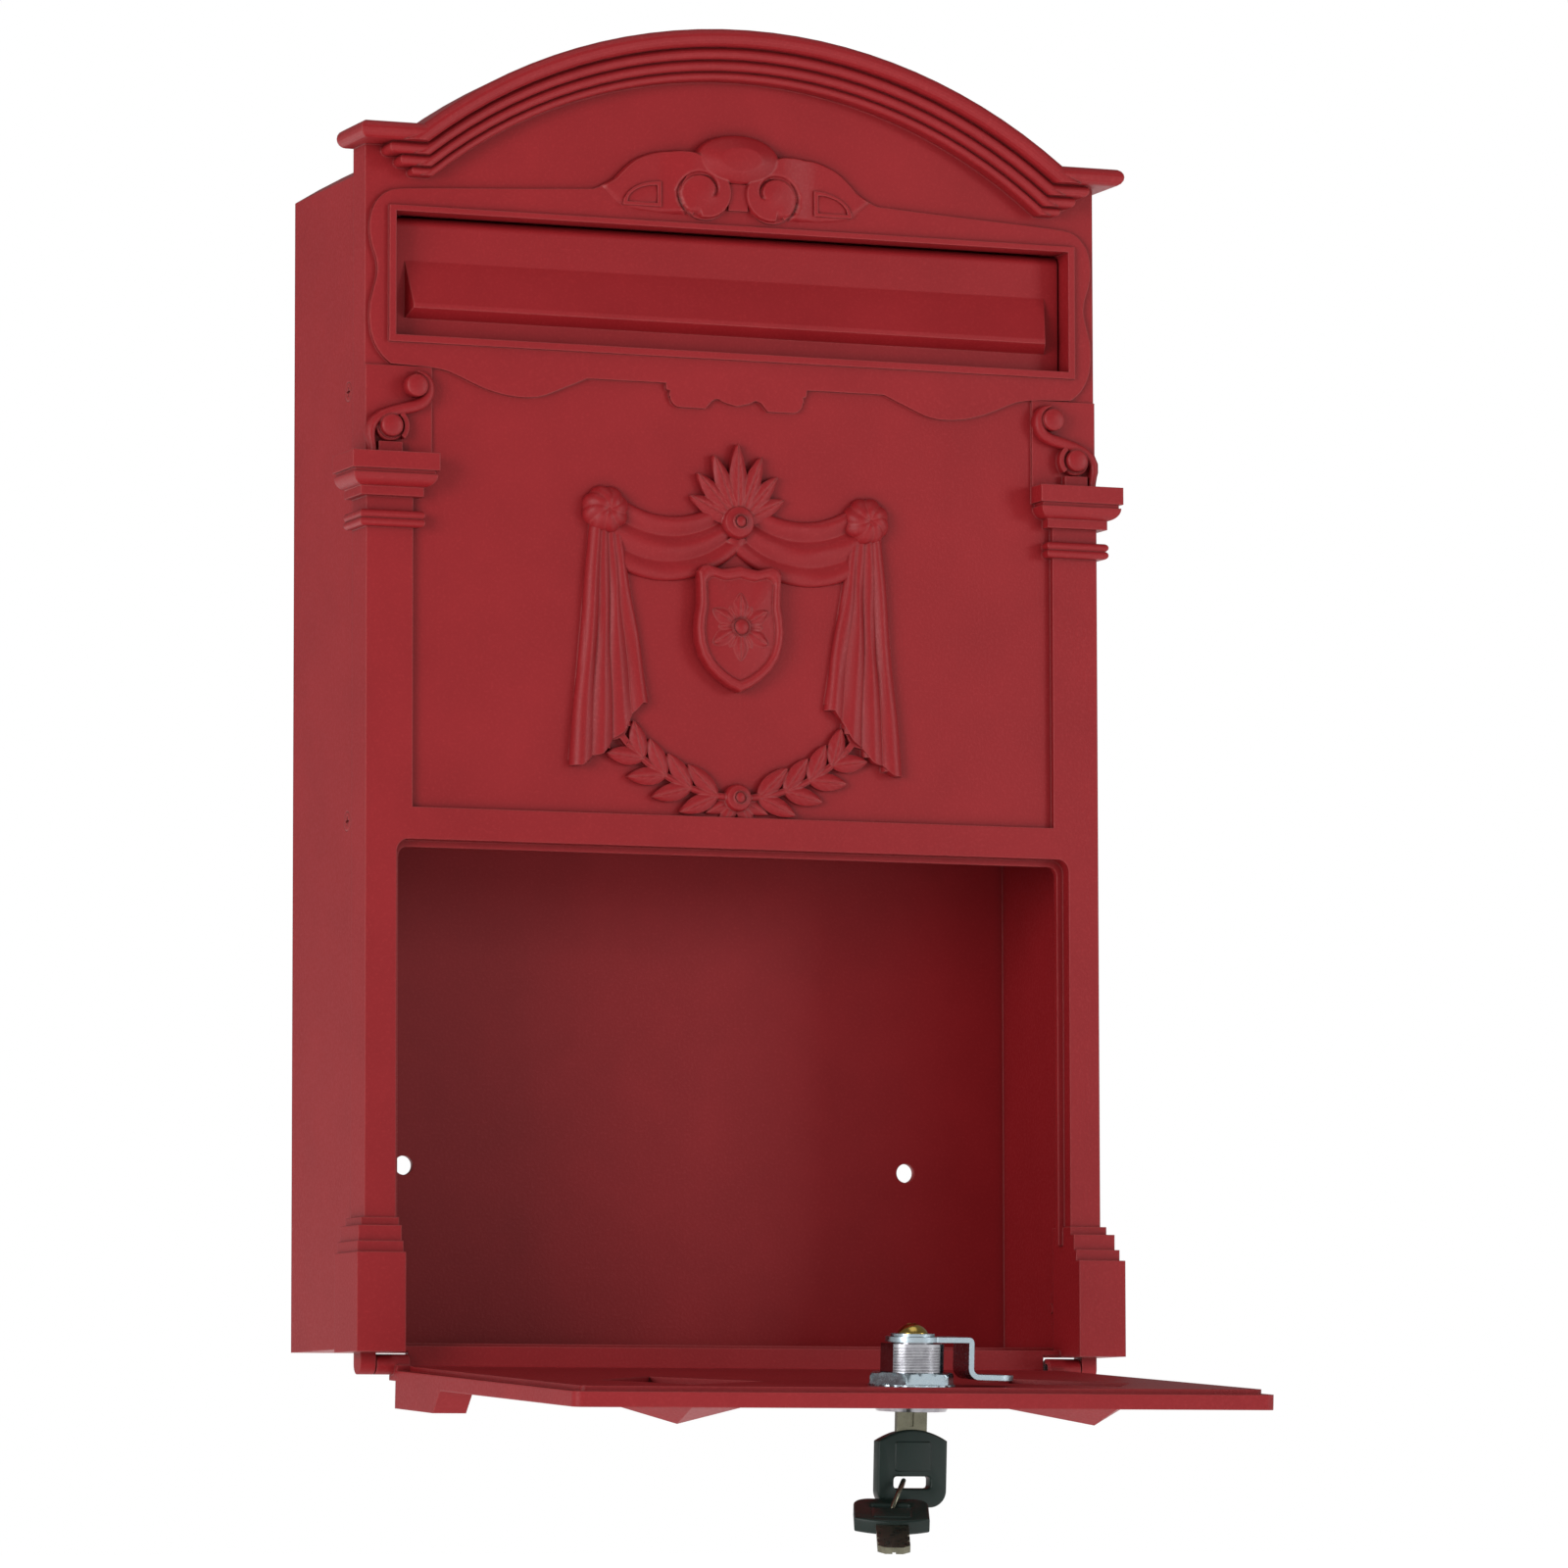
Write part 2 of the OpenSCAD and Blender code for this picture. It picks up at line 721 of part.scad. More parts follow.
shield_half = concat(
    [[0, 19.5]], curve([[6, 18.4], [10.5, 19.6], [13.4, 17.4]], 3),
    curve([[13, 8], [14, 0], [12.4, -8], [7, -14.6], [0, -18.6]], 3)
);
module shield() {
    outline = concat(shield_half, mirrored([for (p = shield_half) if (p[0] > 0) p]));
    on_field(0, crest_z - 2, 0) {
        linear_extrude(3.6)
            polygon(outline);
        translate([0, 0, 3])
            linear_extrude(1.6)
                difference() {
                    polygon(outline);
                    polygon([for (p = outline) p * 0.86]);
                }
        translate([0, 1, 3])
            cylinder(r1 = 5.2, r2 = 3.6, h = 1.6);
        for (a = [0 : 60 : 300])
            rotate([0, 0, a + 30])
                translate([2, 0, 3.4])
                    leaf(8, 4.4, 1);
    }
}

module palmette() {
    for (a = [-64, -42, -21, 0, 21, 42, 64])
        on_field(0, crest_z + 32, 90 + a)
            leaf(24 - abs(a) * 0.11, 5.6, 2.4 - abs(a) * 0.01);
    on_field(0, crest_z + 32, 0)
        cylinder(r = 5, h = 3.4);
}

// A fold of cloth: a long cone laid on the panel.
module fold(x0, z0, x1, z1, r0, r1) {
    dx = x1 - x0;
    dz = z1 - z0;
    translate([x0, rim_y + field_set, z0])
        rotate([0, atan2(dx, dz), 0])
            cylinder(r1 = r0, r2 = r1, h = sqrt(dx * dx + dz * dz), $fn = 32);
}

module drapery() {
    both_sides() {
        fold(46, crest_z + 32, 52, crest_z - 44, 2.4, 3.4);
        fold(44, crest_z + 31, 45, crest_z - 40, 2, 3.2);
        fold(42, crest_z + 30, 38, crest_z - 33, 1.8, 3);
        fold(40, crest_z + 29, 32, crest_z - 24, 1.6, 2.6);
        translate([44, rim_y + field_set, crest_z + 33])
            sphere(r = 5, $fn = 24);
        for (i = [0 : 2])
            swag(22 + i, crest_z + 62 - 7 * i, 31 + i, 3.8 - 0.6 * i);
    }
}

// One fold of the cloth that hangs between its two knots.
module swag(x, z, r, thick) {
    translate([x, rim_y + field_set + 0.4, z])
        rotate([90, 0, 0])
            rotate([0, 0, 227])
                rotate_extrude(angle = 84, $fn = 48)
                    translate([r, 0])
                        circle(d = thick, $fn = 24);
}

// One leafy spray as an outline, from the tie at its foot to its tip.
module spray_outline() {
    polygon(concat(arc(0, crest_z - 4, 51, 268, 334, 12), arc(0, crest_z - 4, 49, 334, 268, 12)));
    for (i = [0 : 5]) {
        a = 278 + i * 10.4;
        for (turn = [58, 126])
            translate([50 * cos(a), crest_z - 4 + 50 * sin(a)])
                rotate([0, 0, a + turn])
                    leaf_outline(13 - i * 0.5, 5);
    }
}

module sprays() {
    both_sides()
        plate(field_set + eps, field_set - 1.8)
            spray_outline();
    on_field(0, crest_z - 54, 0)
        cylinder(r = 4, h = 3);
}

module crest() {
    drapery();
    palmette();
    sprays();
    shield();
}

// The ears that carry the door, and the lugs that the side screws bite into.
module hinge_ears() {
    both_sides()
        difference() {
            union() {
                hinge_line(ear_in)
                    cylinder(r = knuckle_r, h = half_w - ear_in);
                set_block(ear_in, half_w, hinge_set + knuckle_r, hinge_set - knuckle_r, -hinge_drop, over);
            }
            hinge_line(ear_in - over)
                cylinder(d = hinge_pin_d + 0.02, h = half_w - ear_in - 0.8 + over);
        }
}

module hinge_line(x0) {
    translate([x0, rim_y + hinge_set, -hinge_drop])
        rotate([0, 90, 0])
            children();
}

module screw_lugs() {
    lug_out = box_w / 2 - sheet_t - 0.1;
    both_sides()
        for (z = screw_h)
            difference() {
                set_block(lug_out - 4, lug_out, screw_set + 4, inner_set - eps, z - 5, z + 5);
                translate([lug_out - 5, rim_y + screw_set, z])
                    rotate([0, 90, 0])
                        cylinder(d = screw_d, h = 6);
            }
}

module front_casting() {
    color(paint)
        union() {
            difference() {
                union() {
                    tray();
                    cartouche();
                }
                plate(front_depth + over, -over)
                    translate([-slot_in_w / 2 - eps, slot_in_low - eps])
                        square([slot_in_w + 2 * eps, slot_in_high - slot_in_low + 2 * eps]);
            }
            window_frame();
            shafts();
            plinths();
            capitals();
            pediment();
            slot_frame();
            both_sides()
                volute();
            keystone();
            darts();
            brackets();
            crest();
            hinge_ears();
            screw_lugs();
        }
}

// The flap hangs from its rolled top edge. Its ledge gives the fingers a hold.
flap_half = slot_in_w / 2 - flap_gap;
flap_low = slot_in_low + flap_gap;
ledge_high = 335.1;
ledge_ridge = 321.3;
ledge_low = 317.1;
module letter_flap() {
    back = flap_front + flap_t;
    color(paint)
        difference() {
            union() {
                bar_x(-flap_half, flap_half)
                    union() {
                        translate([flap_front, flap_low])
                            square([flap_t, flap_axis_h - flap_low]);
                        translate([flap_set(), flap_axis_h])
                            circle(flap_roll_r);
                    }
                intersection() {
                    bar_x(-flap_half, flap_half)
                        polygon([
                            [flap_front + eps, ledge_high], [flap_front - ledge_reach, ledge_ridge],
                            [flap_front - ledge_reach, ledge_ridge - 1.3], [flap_front + eps, ledge_low]
                        ]);
                    translate([0, rim_y, ledge_low - over])
                        linear_extrude(ledge_high - ledge_low + 2 * over)
                            polygon([
                                [-flap_half + 4.6, flap_front + eps],
                                [flap_half - 4.6, flap_front + eps],
                                [flap_half - 6.2, flap_front - ledge_reach],
                                [-flap_half + 6.2, flap_front - ledge_reach]
                            ]);
                }
            }
            bar_x(-flap_half + 8, flap_half - 8)
                polygon([
                    [back + over, ledge_high - 2], [flap_front + 0.2, ledge_high - 2],
                    [flap_front - ledge_reach + 2.4, ledge_ridge - 0.6], [flap_front + 0.2, ledge_low + 1.6],
                    [back + over, ledge_low + 1.6]
                ]);
            translate([0, rim_y + flap_set(), flap_axis_h])
                rotate([0, 90, 0])
                    cylinder(d = rod_d + 2 * pin_gap, h = front_w, center = true);
        }
}

module flap_rod() {
    color(steel)
        translate([0, rim_y + flap_set(), flap_axis_h])
            rotate([0, 90, 0])
                cylinder(d = rod_d, h = slot_w + 1, center = true);
}

// Turns what is drawn in the shut position to where the door stands.
module door_pose() {
    translate([0, rim_y + hinge_set, -hinge_drop])
        rotate([door_open, 0, 0])
            translate([0, -rim_y - hinge_set, hinge_drop])
                children();
}

// The lock's own frame: z runs out of the door along the lock axis.
module lock_frame() {
    door_pose()
        translate([0, rim_y, lock_h])
            rotate([90, 0, 0])
                children();
}

module barrel_section(gap) {
    intersection() {
        circle(d = barrel_d + 2 * gap);
        square([barrel_flats + 2 * gap, barrel_d + 4], center = true);
    }
}

corner_block_w = 10.6;
corner_block_h = 34;
corner_block_front = -6.3;
boss_fit = door_half / 110.7;
boss_base = [[22, 104], [68, 144], [92, 101], [55, 60]];
boss_peak = [66.5, 122];
module door_boss() {
    polyhedron(
        points = concat(
            [for (p = boss_base) [p[0] * boss_fit, rim_y + field_set + 0.3, p[1]]],
            [[boss_peak[0] * boss_fit, rim_y - 5.5, boss_peak[1]]]
        ),
        faces = [[3, 2, 1, 0], [0, 1, 4], [1, 2, 4], [2, 3, 4], [3, 0, 4]]
    );
}

// The rim, the raised plate behind it, the corner blocks and the knuckles.
module door_body() {
    outer = shaft_set + 0.1;
    plate(door_in_set, outer)
        rounded_rect(2 * door_half, door_low, door_top, window_r - 1);
    plate(plate_in_set, door_in_set - eps)
        rounded_rect(2 * (door_half - 3), door_low + 3, door_top - 3, window_r - 2);
    both_sides() {
        intersection() {
            set_block(door_half - corner_block_w, door_half, door_in_set, corner_block_front, door_low, 42);
            bar_x(0, half_w)
                polygon([
                    [door_in_set, door_low], [corner_block_front, door_low],
                    [corner_block_front, corner_block_h], [outer, corner_block_h + 6],
                    [door_in_set, corner_block_h + 6]
                ]);
        }
        hinge_line(knuckle_in)
            cylinder(r = knuckle_r, h = knuckle_out - knuckle_in);
        set_block(knuckle_in, door_half, hinge_set, outer + 1.4,
            -hinge_drop - knuckle_r + 0.6, door_low + over);
    }
}

// The sunk panel outside, the pockets and the hinge side notches inside, and the bores.
notch_x = [-57, -12, 27];
module door_cuts() {
    strip = door_half - shaft_in;
    difference() {
        plate(field_set, -over)
            rounded_rect(2 * (door_half - strip), corner_block_h + 8, door_top - strip, 3);
        translate([0, rim_y, lock_h])
            rotate([90, 0, 0])
                cylinder(d = 26, h = 20, center = true);
    }
    both_sides()
        plate(plate_in_set + over, plate_in_set - 2)
            polygon([
                for (p = boss_base) let (q = boss_peak + (p - boss_peak) * 0.72) [q[0] * boss_fit, q[1]]
            ]);
    for (x = notch_x)
        set_block(x - 3.5, x + 3.5, plate_in_set + over, door_in_set + 0.4, door_low + 2, door_low + 5.6);
    translate([0, rim_y, lock_h])
        rotate([90, 0, 0])
            linear_extrude(30, center = true)
                barrel_section(0.15);
    both_sides()
        hinge_line(knuckle_in - over)
            cylinder(d = hinge_pin_d + 2 * pin_gap, h = knuckle_out - knuckle_in + 2 * over);
}

module door() {
    color(paint)
        door_pose() {
            difference() {
                door_body();
                door_cuts();
            }
            both_sides()
                door_boss();
        }
}

module hinge_pin() {
    hinge_line(knuckle_in)
        cylinder(d = hinge_pin_d, h = half_w - 1 - knuckle_in);
}

module hinge_pin_right() {
    color(steel)
        hinge_pin();
}

module hinge_pin_left() {
    color(steel)
        mirror([1, 0, 0])
            hinge_pin();
}

module side_screw(side, z) {
    color(paint)
        translate([side * box_w / 2, rim_y + screw_set, z])
            rotate([0, side * 90, 0])
                difference() {
                    union() {
                        translate([0, 0, -sheet_t])
                            cylinder(d1 = screw_d, d2 = screw_head_d, h = sheet_t);
                        translate([0, 0, -sheet_t - 6])
                            cylinder(d = screw_d, h = 6 + eps);
                    }
                    for (a = [0, 90])
                        rotate([0, 0, a])
                            translate([-1.6, -0.35, -0.8])
                                cube([3.2, 0.7, 1]);
                }
}

module lock_barrel() {
    color(steel)
        lock_frame()
            difference() {
                union() {
                    translate([0, 0, -plate_in_set - barrel_len])
                        linear_extrude(plate_in_set + barrel_len - lock_face - 1.2)
                            barrel_section(0);
                    translate([0, 0, -shaft_set - 0.1])
                        cylinder(d1 = 22, d2 = 20.6, h = 1.3);
                }
                translate([0, 0, -40])
                    cylinder(d = plug_d + 2 * pin_gap, h = 60);
            }
}

module lock_nut() {
    color(steel)
        lock_frame()
            difference() {
                translate([0, 0, -plate_in_set - nut_t])
                    cylinder(d = nut_af / cos(30), h = nut_t, $fn = 6);
                translate([0, 0, -plate_in_set - nut_t - over])
                    linear_extrude(nut_t + 2 * over)
                        circle(d = barrel_d + 0.1);
            }
}

tang = 7;
module lock_plug() {
    color(steel)
        lock_frame()
            difference() {
                union() {
                    translate([0, 0, -cam_top])
                        cylinder(d = plug_d, h = cam_top + shaft_set - 0.1);
                    translate([-tang / 2, -tang / 2, -cam_top - cam_t])
                        cube([tang, tang, cam_t + eps]);
                }
                translate([-blade_w / 2 - key_gap, -blade_t / 2 - key_gap, bow_start - blade_len - 0.3])
                    cube([blade_w + 2 * key_gap, blade_t + 2 * key_gap, blade_len]);
                translate([0, 0, -cam_top - cam_t - over])
                    cylinder(d = 3.4, h = 5);
            }
}

// The cam: a strip bent twice, so that its tip reaches down behind the rail.
module lock_cam() {
    color(steel)
        lock_frame()
            difference() {
                union() {
                    translate([0, 0, -cam_top - cam_t])
                        cylinder(d = cam_w + 4, h = cam_t);
                    translate([0, -cam_w / 2, -cam_top - cam_t])
                        cube([cam_bend, cam_w, cam_t]);
                    translate([cam_bend - cam_t, -cam_w / 2, -cam_top - cam_t])
                        cube([cam_t, cam_w, cam_top + cam_t - cam_low]);
                    translate([cam_bend - cam_t, -cam_w / 2, -cam_low - cam_t])
                        cube([cam_reach - cam_bend + cam_t - 2, cam_w, cam_t]);
                    translate([cam_reach - cam_w / 2, 0, -cam_low - cam_t])
                        cylinder(d = cam_w, h = cam_t);
                }
                translate([-tang / 2 - 0.1, -tang / 2 - 0.1, -cam_top - cam_t - over])
                    cube([tang + 0.2, tang + 0.2, cam_t + 2 * over]);
            }
}

module cam_washer() {
    color(steel)
        lock_frame()
            translate([0, 0, -cam_top - cam_t - 0.9])
                difference() {
                    cylinder(d = 13, h = 0.9);
                    translate([0, 0, -over])
                        cylinder(d = 3.6, h = 3);
                }
}

module cam_screw() {
    head_low = -cam_top - cam_t - 0.9;
    color(brass)
        lock_frame()
            difference() {
                union() {
                    intersection() {
                        translate([0, 0, head_low + 2])
                            sphere(r = 5);
                        translate([0, 0, head_low - 3])
                            cylinder(d = 9, h = 3);
                    }
                    translate([0, 0, head_low - eps])
                        cylinder(d = 3.3, h = 4.6);
                }
                for (a = [0, 90])
                    rotate([0, 0, a])
                        translate([-1.8, -0.4, head_low - 4])
                            cube([3.6, 0.8, 2.2]);
            }
}

// A key lies along z: its bow starts at z = 0 and its blade runs to negative z.
module key_blade_shape() {
    color(steel)
        difference() {
            translate([-blade_w / 2, -blade_t / 2, -blade_len])
                cube([blade_w, blade_t, blade_len + 8]);
            for (side = [-1, 1])
                translate([side * blade_w / 2, 0, -blade_len])
                    rotate([0, 45, 0])
                        cube([3, blade_t + 2, 3], center = true);
            for (i = [0 : 3])
                translate([(i % 2 == 0 ? -1 : 1) * (blade_w / 2 + 0.7), 0, -blade_len + 4 + i * 2.6])
                    rotate([0, 45, 0])
                        cube([2, blade_t + 2, 2], center = true);
            translate([-0.5, blade_t / 2 - 0.5, -blade_len - over])
                cube([1, over, blade_len]);
        }
}

module bow_outline() {
    intersection() {
        union() {
            translate([-bow_w / 2, 0])
                square([bow_w, bow_len - 5]);
            translate([-bow_w / 2 + 5, 0])
                square([bow_w - 10, bow_len]);
            for (x = [-1, 1])
                translate([x * (bow_w / 2 - 5), bow_len - 5])
                    circle(5);
        }
        translate([0, 19])
            circle(19);
    }
}

module key_bow_shape() {
    color(plastic)
        translate([0, bow_t / 2, 0])
            rotate([90, 0, 0])
                difference() {
                    linear_extrude(bow_t)
                        difference() {
                            bow_outline();
                            translate([-slot_hole_w / 2, bow_len - slot_hole_end - slot_hole_h / 2])
                                square([slot_hole_w, slot_hole_h]);
                        }
                    for (z = [-over, bow_t - 0.5])
                        translate([-6.2, 3.4, z])
                            cube([12.4, 9, over + 0.5]);
                    translate([-blade_w / 2 - 0.02, -over, bow_t / 2 - blade_t / 2 - 0.02])
                        cube([blade_w + 0.04, 8 + over + 0.04, blade_t + 0.04]);
                }
}

module key_place() {
    lock_frame()
        translate([0, 0, bow_start])
            children();
}

module key_blade() {
    key_place()
        key_blade_shape();
}

module key_bow() {
    key_place()
        key_bow_shape();
}

// Where the ring passes through the slot hole of the key in the lock.
module ring_frame() {
    lock_frame()
        translate([ring_x, 0, bow_start + bow_len - slot_hole_end - ring_rest])
            children();
}

module key_ring() {
    color(steel)
        ring_frame()
            translate(ring_middle)
                rotate([0, acos(ring_axis[2]), atan2(ring_axis[1], ring_axis[0])])
                    rotate_extrude($fn = 96)
                        translate([ring_r, 0])
                            circle(d = ring_wire_d, $fn = 24);
}

// The spare key hangs on the ring, and its blade points at the viewer.
module spare_place() {
    ring_frame()
        translate(ring_chord)
            rotate([0, 0, spare_yaw])
                rotate([90 + spare_tilt, 0, 0])
                    translate([0, 0, slot_hole_end - bow_len])
                        children();
}

module spare_key_blade() {
    spare_place()
        key_blade_shape();
}

module spare_key_bow() {
    spare_place()
        key_bow_shape();
}

module placed() {
    translate([0, 0, -mount_h])
        children();
}

placed() back_box();
placed() front_casting();
placed() letter_flap();
placed() flap_rod();
placed() door();
placed() hinge_pin_left();
placed() hinge_pin_right();
placed() side_screw(-1, screw_h[0]);  // side_screw_left_low
placed() side_screw(-1, screw_h[1]);  // side_screw_left_mid
placed() side_screw(-1, screw_h[2]);  // side_screw_left_high
placed() side_screw(1, screw_h[0]);  // side_screw_right_low
placed() side_screw(1, screw_h[1]);  // side_screw_right_mid
placed() side_screw(1, screw_h[2]);  // side_screw_right_high
placed() lock_barrel();
placed() lock_nut();
placed() lock_plug();
placed() lock_cam();
placed() cam_washer();
placed() cam_screw();
placed() key_blade();
placed() key_bow();
placed() key_ring();
placed() spare_key_blade();
placed() spare_key_bow();
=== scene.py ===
"""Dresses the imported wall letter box: paint and metal finishes, the carved crest, the scroll
work, the lock and key detail, and a plain studio stage. Lengths in the functions are in
millimetres, as on a drawing, and are turned into metres where a piece is placed."""

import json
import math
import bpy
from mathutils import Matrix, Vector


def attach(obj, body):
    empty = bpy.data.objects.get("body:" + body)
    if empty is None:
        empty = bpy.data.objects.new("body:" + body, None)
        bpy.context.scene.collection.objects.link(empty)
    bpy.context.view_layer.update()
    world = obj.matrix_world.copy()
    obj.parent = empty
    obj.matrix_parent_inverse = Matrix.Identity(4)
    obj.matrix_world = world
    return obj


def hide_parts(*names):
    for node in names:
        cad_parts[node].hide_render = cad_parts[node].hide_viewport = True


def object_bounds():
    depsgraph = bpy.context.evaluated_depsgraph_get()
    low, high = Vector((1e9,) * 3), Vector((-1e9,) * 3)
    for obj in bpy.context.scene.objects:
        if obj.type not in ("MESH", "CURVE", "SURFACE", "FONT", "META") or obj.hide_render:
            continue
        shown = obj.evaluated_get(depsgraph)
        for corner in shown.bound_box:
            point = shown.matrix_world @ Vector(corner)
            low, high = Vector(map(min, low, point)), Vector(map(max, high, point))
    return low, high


bl_info = {
    "name": "Cast Front Letter Box",
    "version": (1, 0, 0),
    "blender": (4, 5, 0),
    "location": "3D View > Sidebar > Letter Box",
    "description": "Finishes, relief and lock detail of a wall letter box with a drop down door",
    "category": "Object",
}

import bmesh
import bpy
from bpy.props import FloatProperty, FloatVectorProperty, PointerProperty
from mathutils import Matrix, Vector

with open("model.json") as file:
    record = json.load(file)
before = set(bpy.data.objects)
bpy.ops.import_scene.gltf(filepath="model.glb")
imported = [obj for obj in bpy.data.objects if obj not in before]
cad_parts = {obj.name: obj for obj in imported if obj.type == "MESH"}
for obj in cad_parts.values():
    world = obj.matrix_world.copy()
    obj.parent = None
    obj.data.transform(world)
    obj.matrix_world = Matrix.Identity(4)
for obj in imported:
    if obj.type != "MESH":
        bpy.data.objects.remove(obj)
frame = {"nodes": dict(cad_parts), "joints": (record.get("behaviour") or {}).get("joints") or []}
cad_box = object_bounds()

MM = 0.001
RIM_Y = -0.072  # the plane of the letter slot's rim, which depths are counted from
FOOT_Z = -0.195  # the foot of the columns, which heights are counted from
FIELD = 2.5  # depth of the sunk panels behind the rim
CREST_Z = 226  # height of the middle of the crest
HALF_W = 122  # half the width over the column shafts
CAP_TOP = 274  # top of the capitals
CAMERA_AT = (-0.92955, -2.40952, -0.25285)  # metres
CAMERA_TURN = (22.0043, 5.317, -0.1108)  # degrees to the right, upwards and over


def rgb(code):
    """An sRGB hex colour as linear red, green and blue."""
    parts = [int(code[i : i + 2], 16) / 255 for i in (0, 2, 4)]
    return [p / 12.92 if p <= 0.04045 else ((p + 0.055) / 1.055) ** 2.4 for p in parts]


def joint(name):
    """Where a joint of the record sits."""
    return Vector(next(j["pos_m"] for j in frame["joints"] if j["name"] == name))


def on_front(x, z, turn=0.0, depth=FIELD):
    """Places flat work on the front: its x and y lie in the front, its z stands out of it."""
    place = Vector((x * MM, RIM_Y + depth * MM, FOOT_Z + z * MM))
    return (
        Matrix.Translation(place)
        @ Matrix.Rotation(math.radians(90), 4, "X")
        @ Matrix.Rotation(math.radians(turn), 4, "Z")
        @ Matrix.Scale(MM, 4)
    )


MIRROR = Matrix.Scale(-1, 4, (1, 0, 0))
DOOR_TURN = 93.3  # degrees that the door lies open at rest

# The lock's own place: x to the right, z out of the door along the lock's axis. With the door
# shut its origin lies in the plane of the slot's rim, 6.9 mm before the hinge and 143 mm above it.
LOCK = (
    Matrix.Translation(joint("door_hinge"))
    @ Matrix.Rotation(math.radians(DOOR_TURN), 4, "X")
    @ Matrix.Translation(Vector((0, -6.9, 143)) * MM)
    @ Matrix.Rotation(math.radians(90), 4, "X")
    @ Matrix.Scale(MM, 4)
)

# The places of the two keys' grips: z runs from the blade to the far end.
GRIP_START = 6.1  # from the lock's origin to the grip of the key in the lock
RING_R = 10.0  # radius of the key ring
RING_SPREAD = 52  # half the angle between the two grips, seen from the ring's middle
RING_SEAT = (-2, 0, 21.3)  # where the ring passes through the first grip
SLOT_Z = 15.5  # from the start of a grip to where the ring passes
KEY = LOCK @ Matrix.Translation((0, 0, GRIP_START))
CHORD = Vector((-7.7, 9.9, 8)).normalized() * 2 * RING_R * math.sin(math.radians(RING_SPREAD))
SPARE_KEY = (
    LOCK
    @ Matrix.Translation(Vector(RING_SEAT) + CHORD)
    @ Matrix.Rotation(math.radians(21), 4, "Z")
    @ Matrix.Rotation(math.radians(104), 4, "X")
    @ Matrix.Translation((0, 0, -SLOT_Z))
)


# ---------------------------------------------------------------- shapes


def shaped(nu, nv, place):
    """A grid whose points go where place(u, v) says, with u and v from 0 to 1."""
    bm = bmesh.new()
    bmesh.ops.create_grid(bm, x_segments=nu, y_segments=nv, size=0.5)
    for v in bm.verts:
        v.co = Vector(place(v.co.x + 0.5, v.co.y + 0.5))
    return bm


def sink_edge(bm, low):
    """Carries the open edge of a relief down to height low and closes it underneath."""
    bmesh.ops.remove_doubles(bm, verts=bm.verts, dist=0.01)
    rim = [e for e in bm.edges if e.is_boundary]
    out = bmesh.ops.extrude_edge_only(bm, edges=rim)["geom"]
    for g in out:
        if isinstance(g, bmesh.types.BMVert):
            g.co.z = low
    fresh = [g for g in out if isinstance(g, bmesh.types.BMEdge) and g.is_boundary]
    bmesh.ops.holes_fill(bm, edges=fresh, sides=0)
    return bm


def turned(profile, steps=64):
    """A round piece from (radius, height) points, spun about z."""
    bm = bmesh.new()
    verts = [bm.verts.new((r, 0, z)) for r, z in profile]
    edges = [bm.edges.new(pair) for pair in zip(verts, verts[1:])]
    bmesh.ops.spin(
        bm, geom=verts + edges, cent=(0, 0, 0), axis=(0, 0, 1), dvec=(0, 0, 0),
        angle=math.tau, steps=steps, use_merge=True, use_duplicate=False,
    )
    bmesh.ops.remove_doubles(bm, verts=bm.verts, dist=0.005)
    return bm


def joined(parts):
    """One bmesh from (bmesh, matrix) pairs."""
    whole = bmesh.new()
    for bm, matrix in parts:
        bmesh.ops.transform(bm, matrix=matrix, verts=bm.verts)
        copy = bpy.data.meshes.new("part")
        bm.to_mesh(copy)
        bm.free()
        whole.from_mesh(copy)
        bpy.data.meshes.remove(copy)
    return whole


def both_sides(make, place):
    """The same relief on the right and, mirrored, on the left."""
    return [(make(), place), (make(), MIRROR @ place)]


def piece(name, parts, body, finish, crisp=38):
    """Makes the object: faces turned outwards, smooth with crisp edges, riding on its body."""
    bm = joined(parts)
    bmesh.ops.remove_doubles(bm, verts=bm.verts, dist=1e-6)
    bmesh.ops.recalc_face_normals(bm, faces=bm.faces)
    mesh = bpy.data.meshes.new(name)
    bm.to_mesh(mesh)
    bm.free()
    mesh.polygons.foreach_set("use_smooth", [True] * len(mesh.polygons))
    mesh.set_sharp_from_angle(angle=math.radians(crisp))
    mesh.materials.append(finish)
    obj = bpy.data.objects.new(name, mesh)
    bpy.context.scene.collection.objects.link(obj)
    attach(obj, body)
    return obj


def ease(t):
    """0 below 0, 1 above 1 and a soft rise between."""
    t = max(0.0, min(1.0, t))
    return t * t * (3 - 2 * t)


def arc(cx, cy, r, a0, a1, steps=24):
    """Points along a round line about (cx, cy), between two angles in degrees."""
    return [
        (cx + r * math.cos(math.radians(a0 + (a1 - a0) * i / steps)),
         cy + r * math.sin(math.radians(a0 + (a1 - a0) * i / steps)))
        for i in range(steps + 1)
    ]


def along(table, x):
    """Reads a value between the rows of a table of (x, value) pairs."""
    for (x0, y0), (x1, y1) in zip(table, table[1:]):
        if x <= x1:
            return y0 + (y1 - y0) * max(0.0, (x - x0) / (x1 - x0))
    return table[-1][1]


def between(rows, v):
    """The numbers of a table at v, from 0 at its first row to 1 at its last."""
    k = v * (len(rows) - 1)
    j = min(int(k + 1e-6), len(rows) - 2)
    return [a + (b - a) * (k - j) for a, b in zip(rows[j], rows[j + 1])]


def marks_of(line):
    """How far along a line of points each of them lies."""
    marks = [0.0]
    for a, b in zip(line, line[1:]):
        marks.append(marks[-1] + math.dist(a[:2], b[:2]))
    return marks


# ---------------------------------------------------------------- finishes


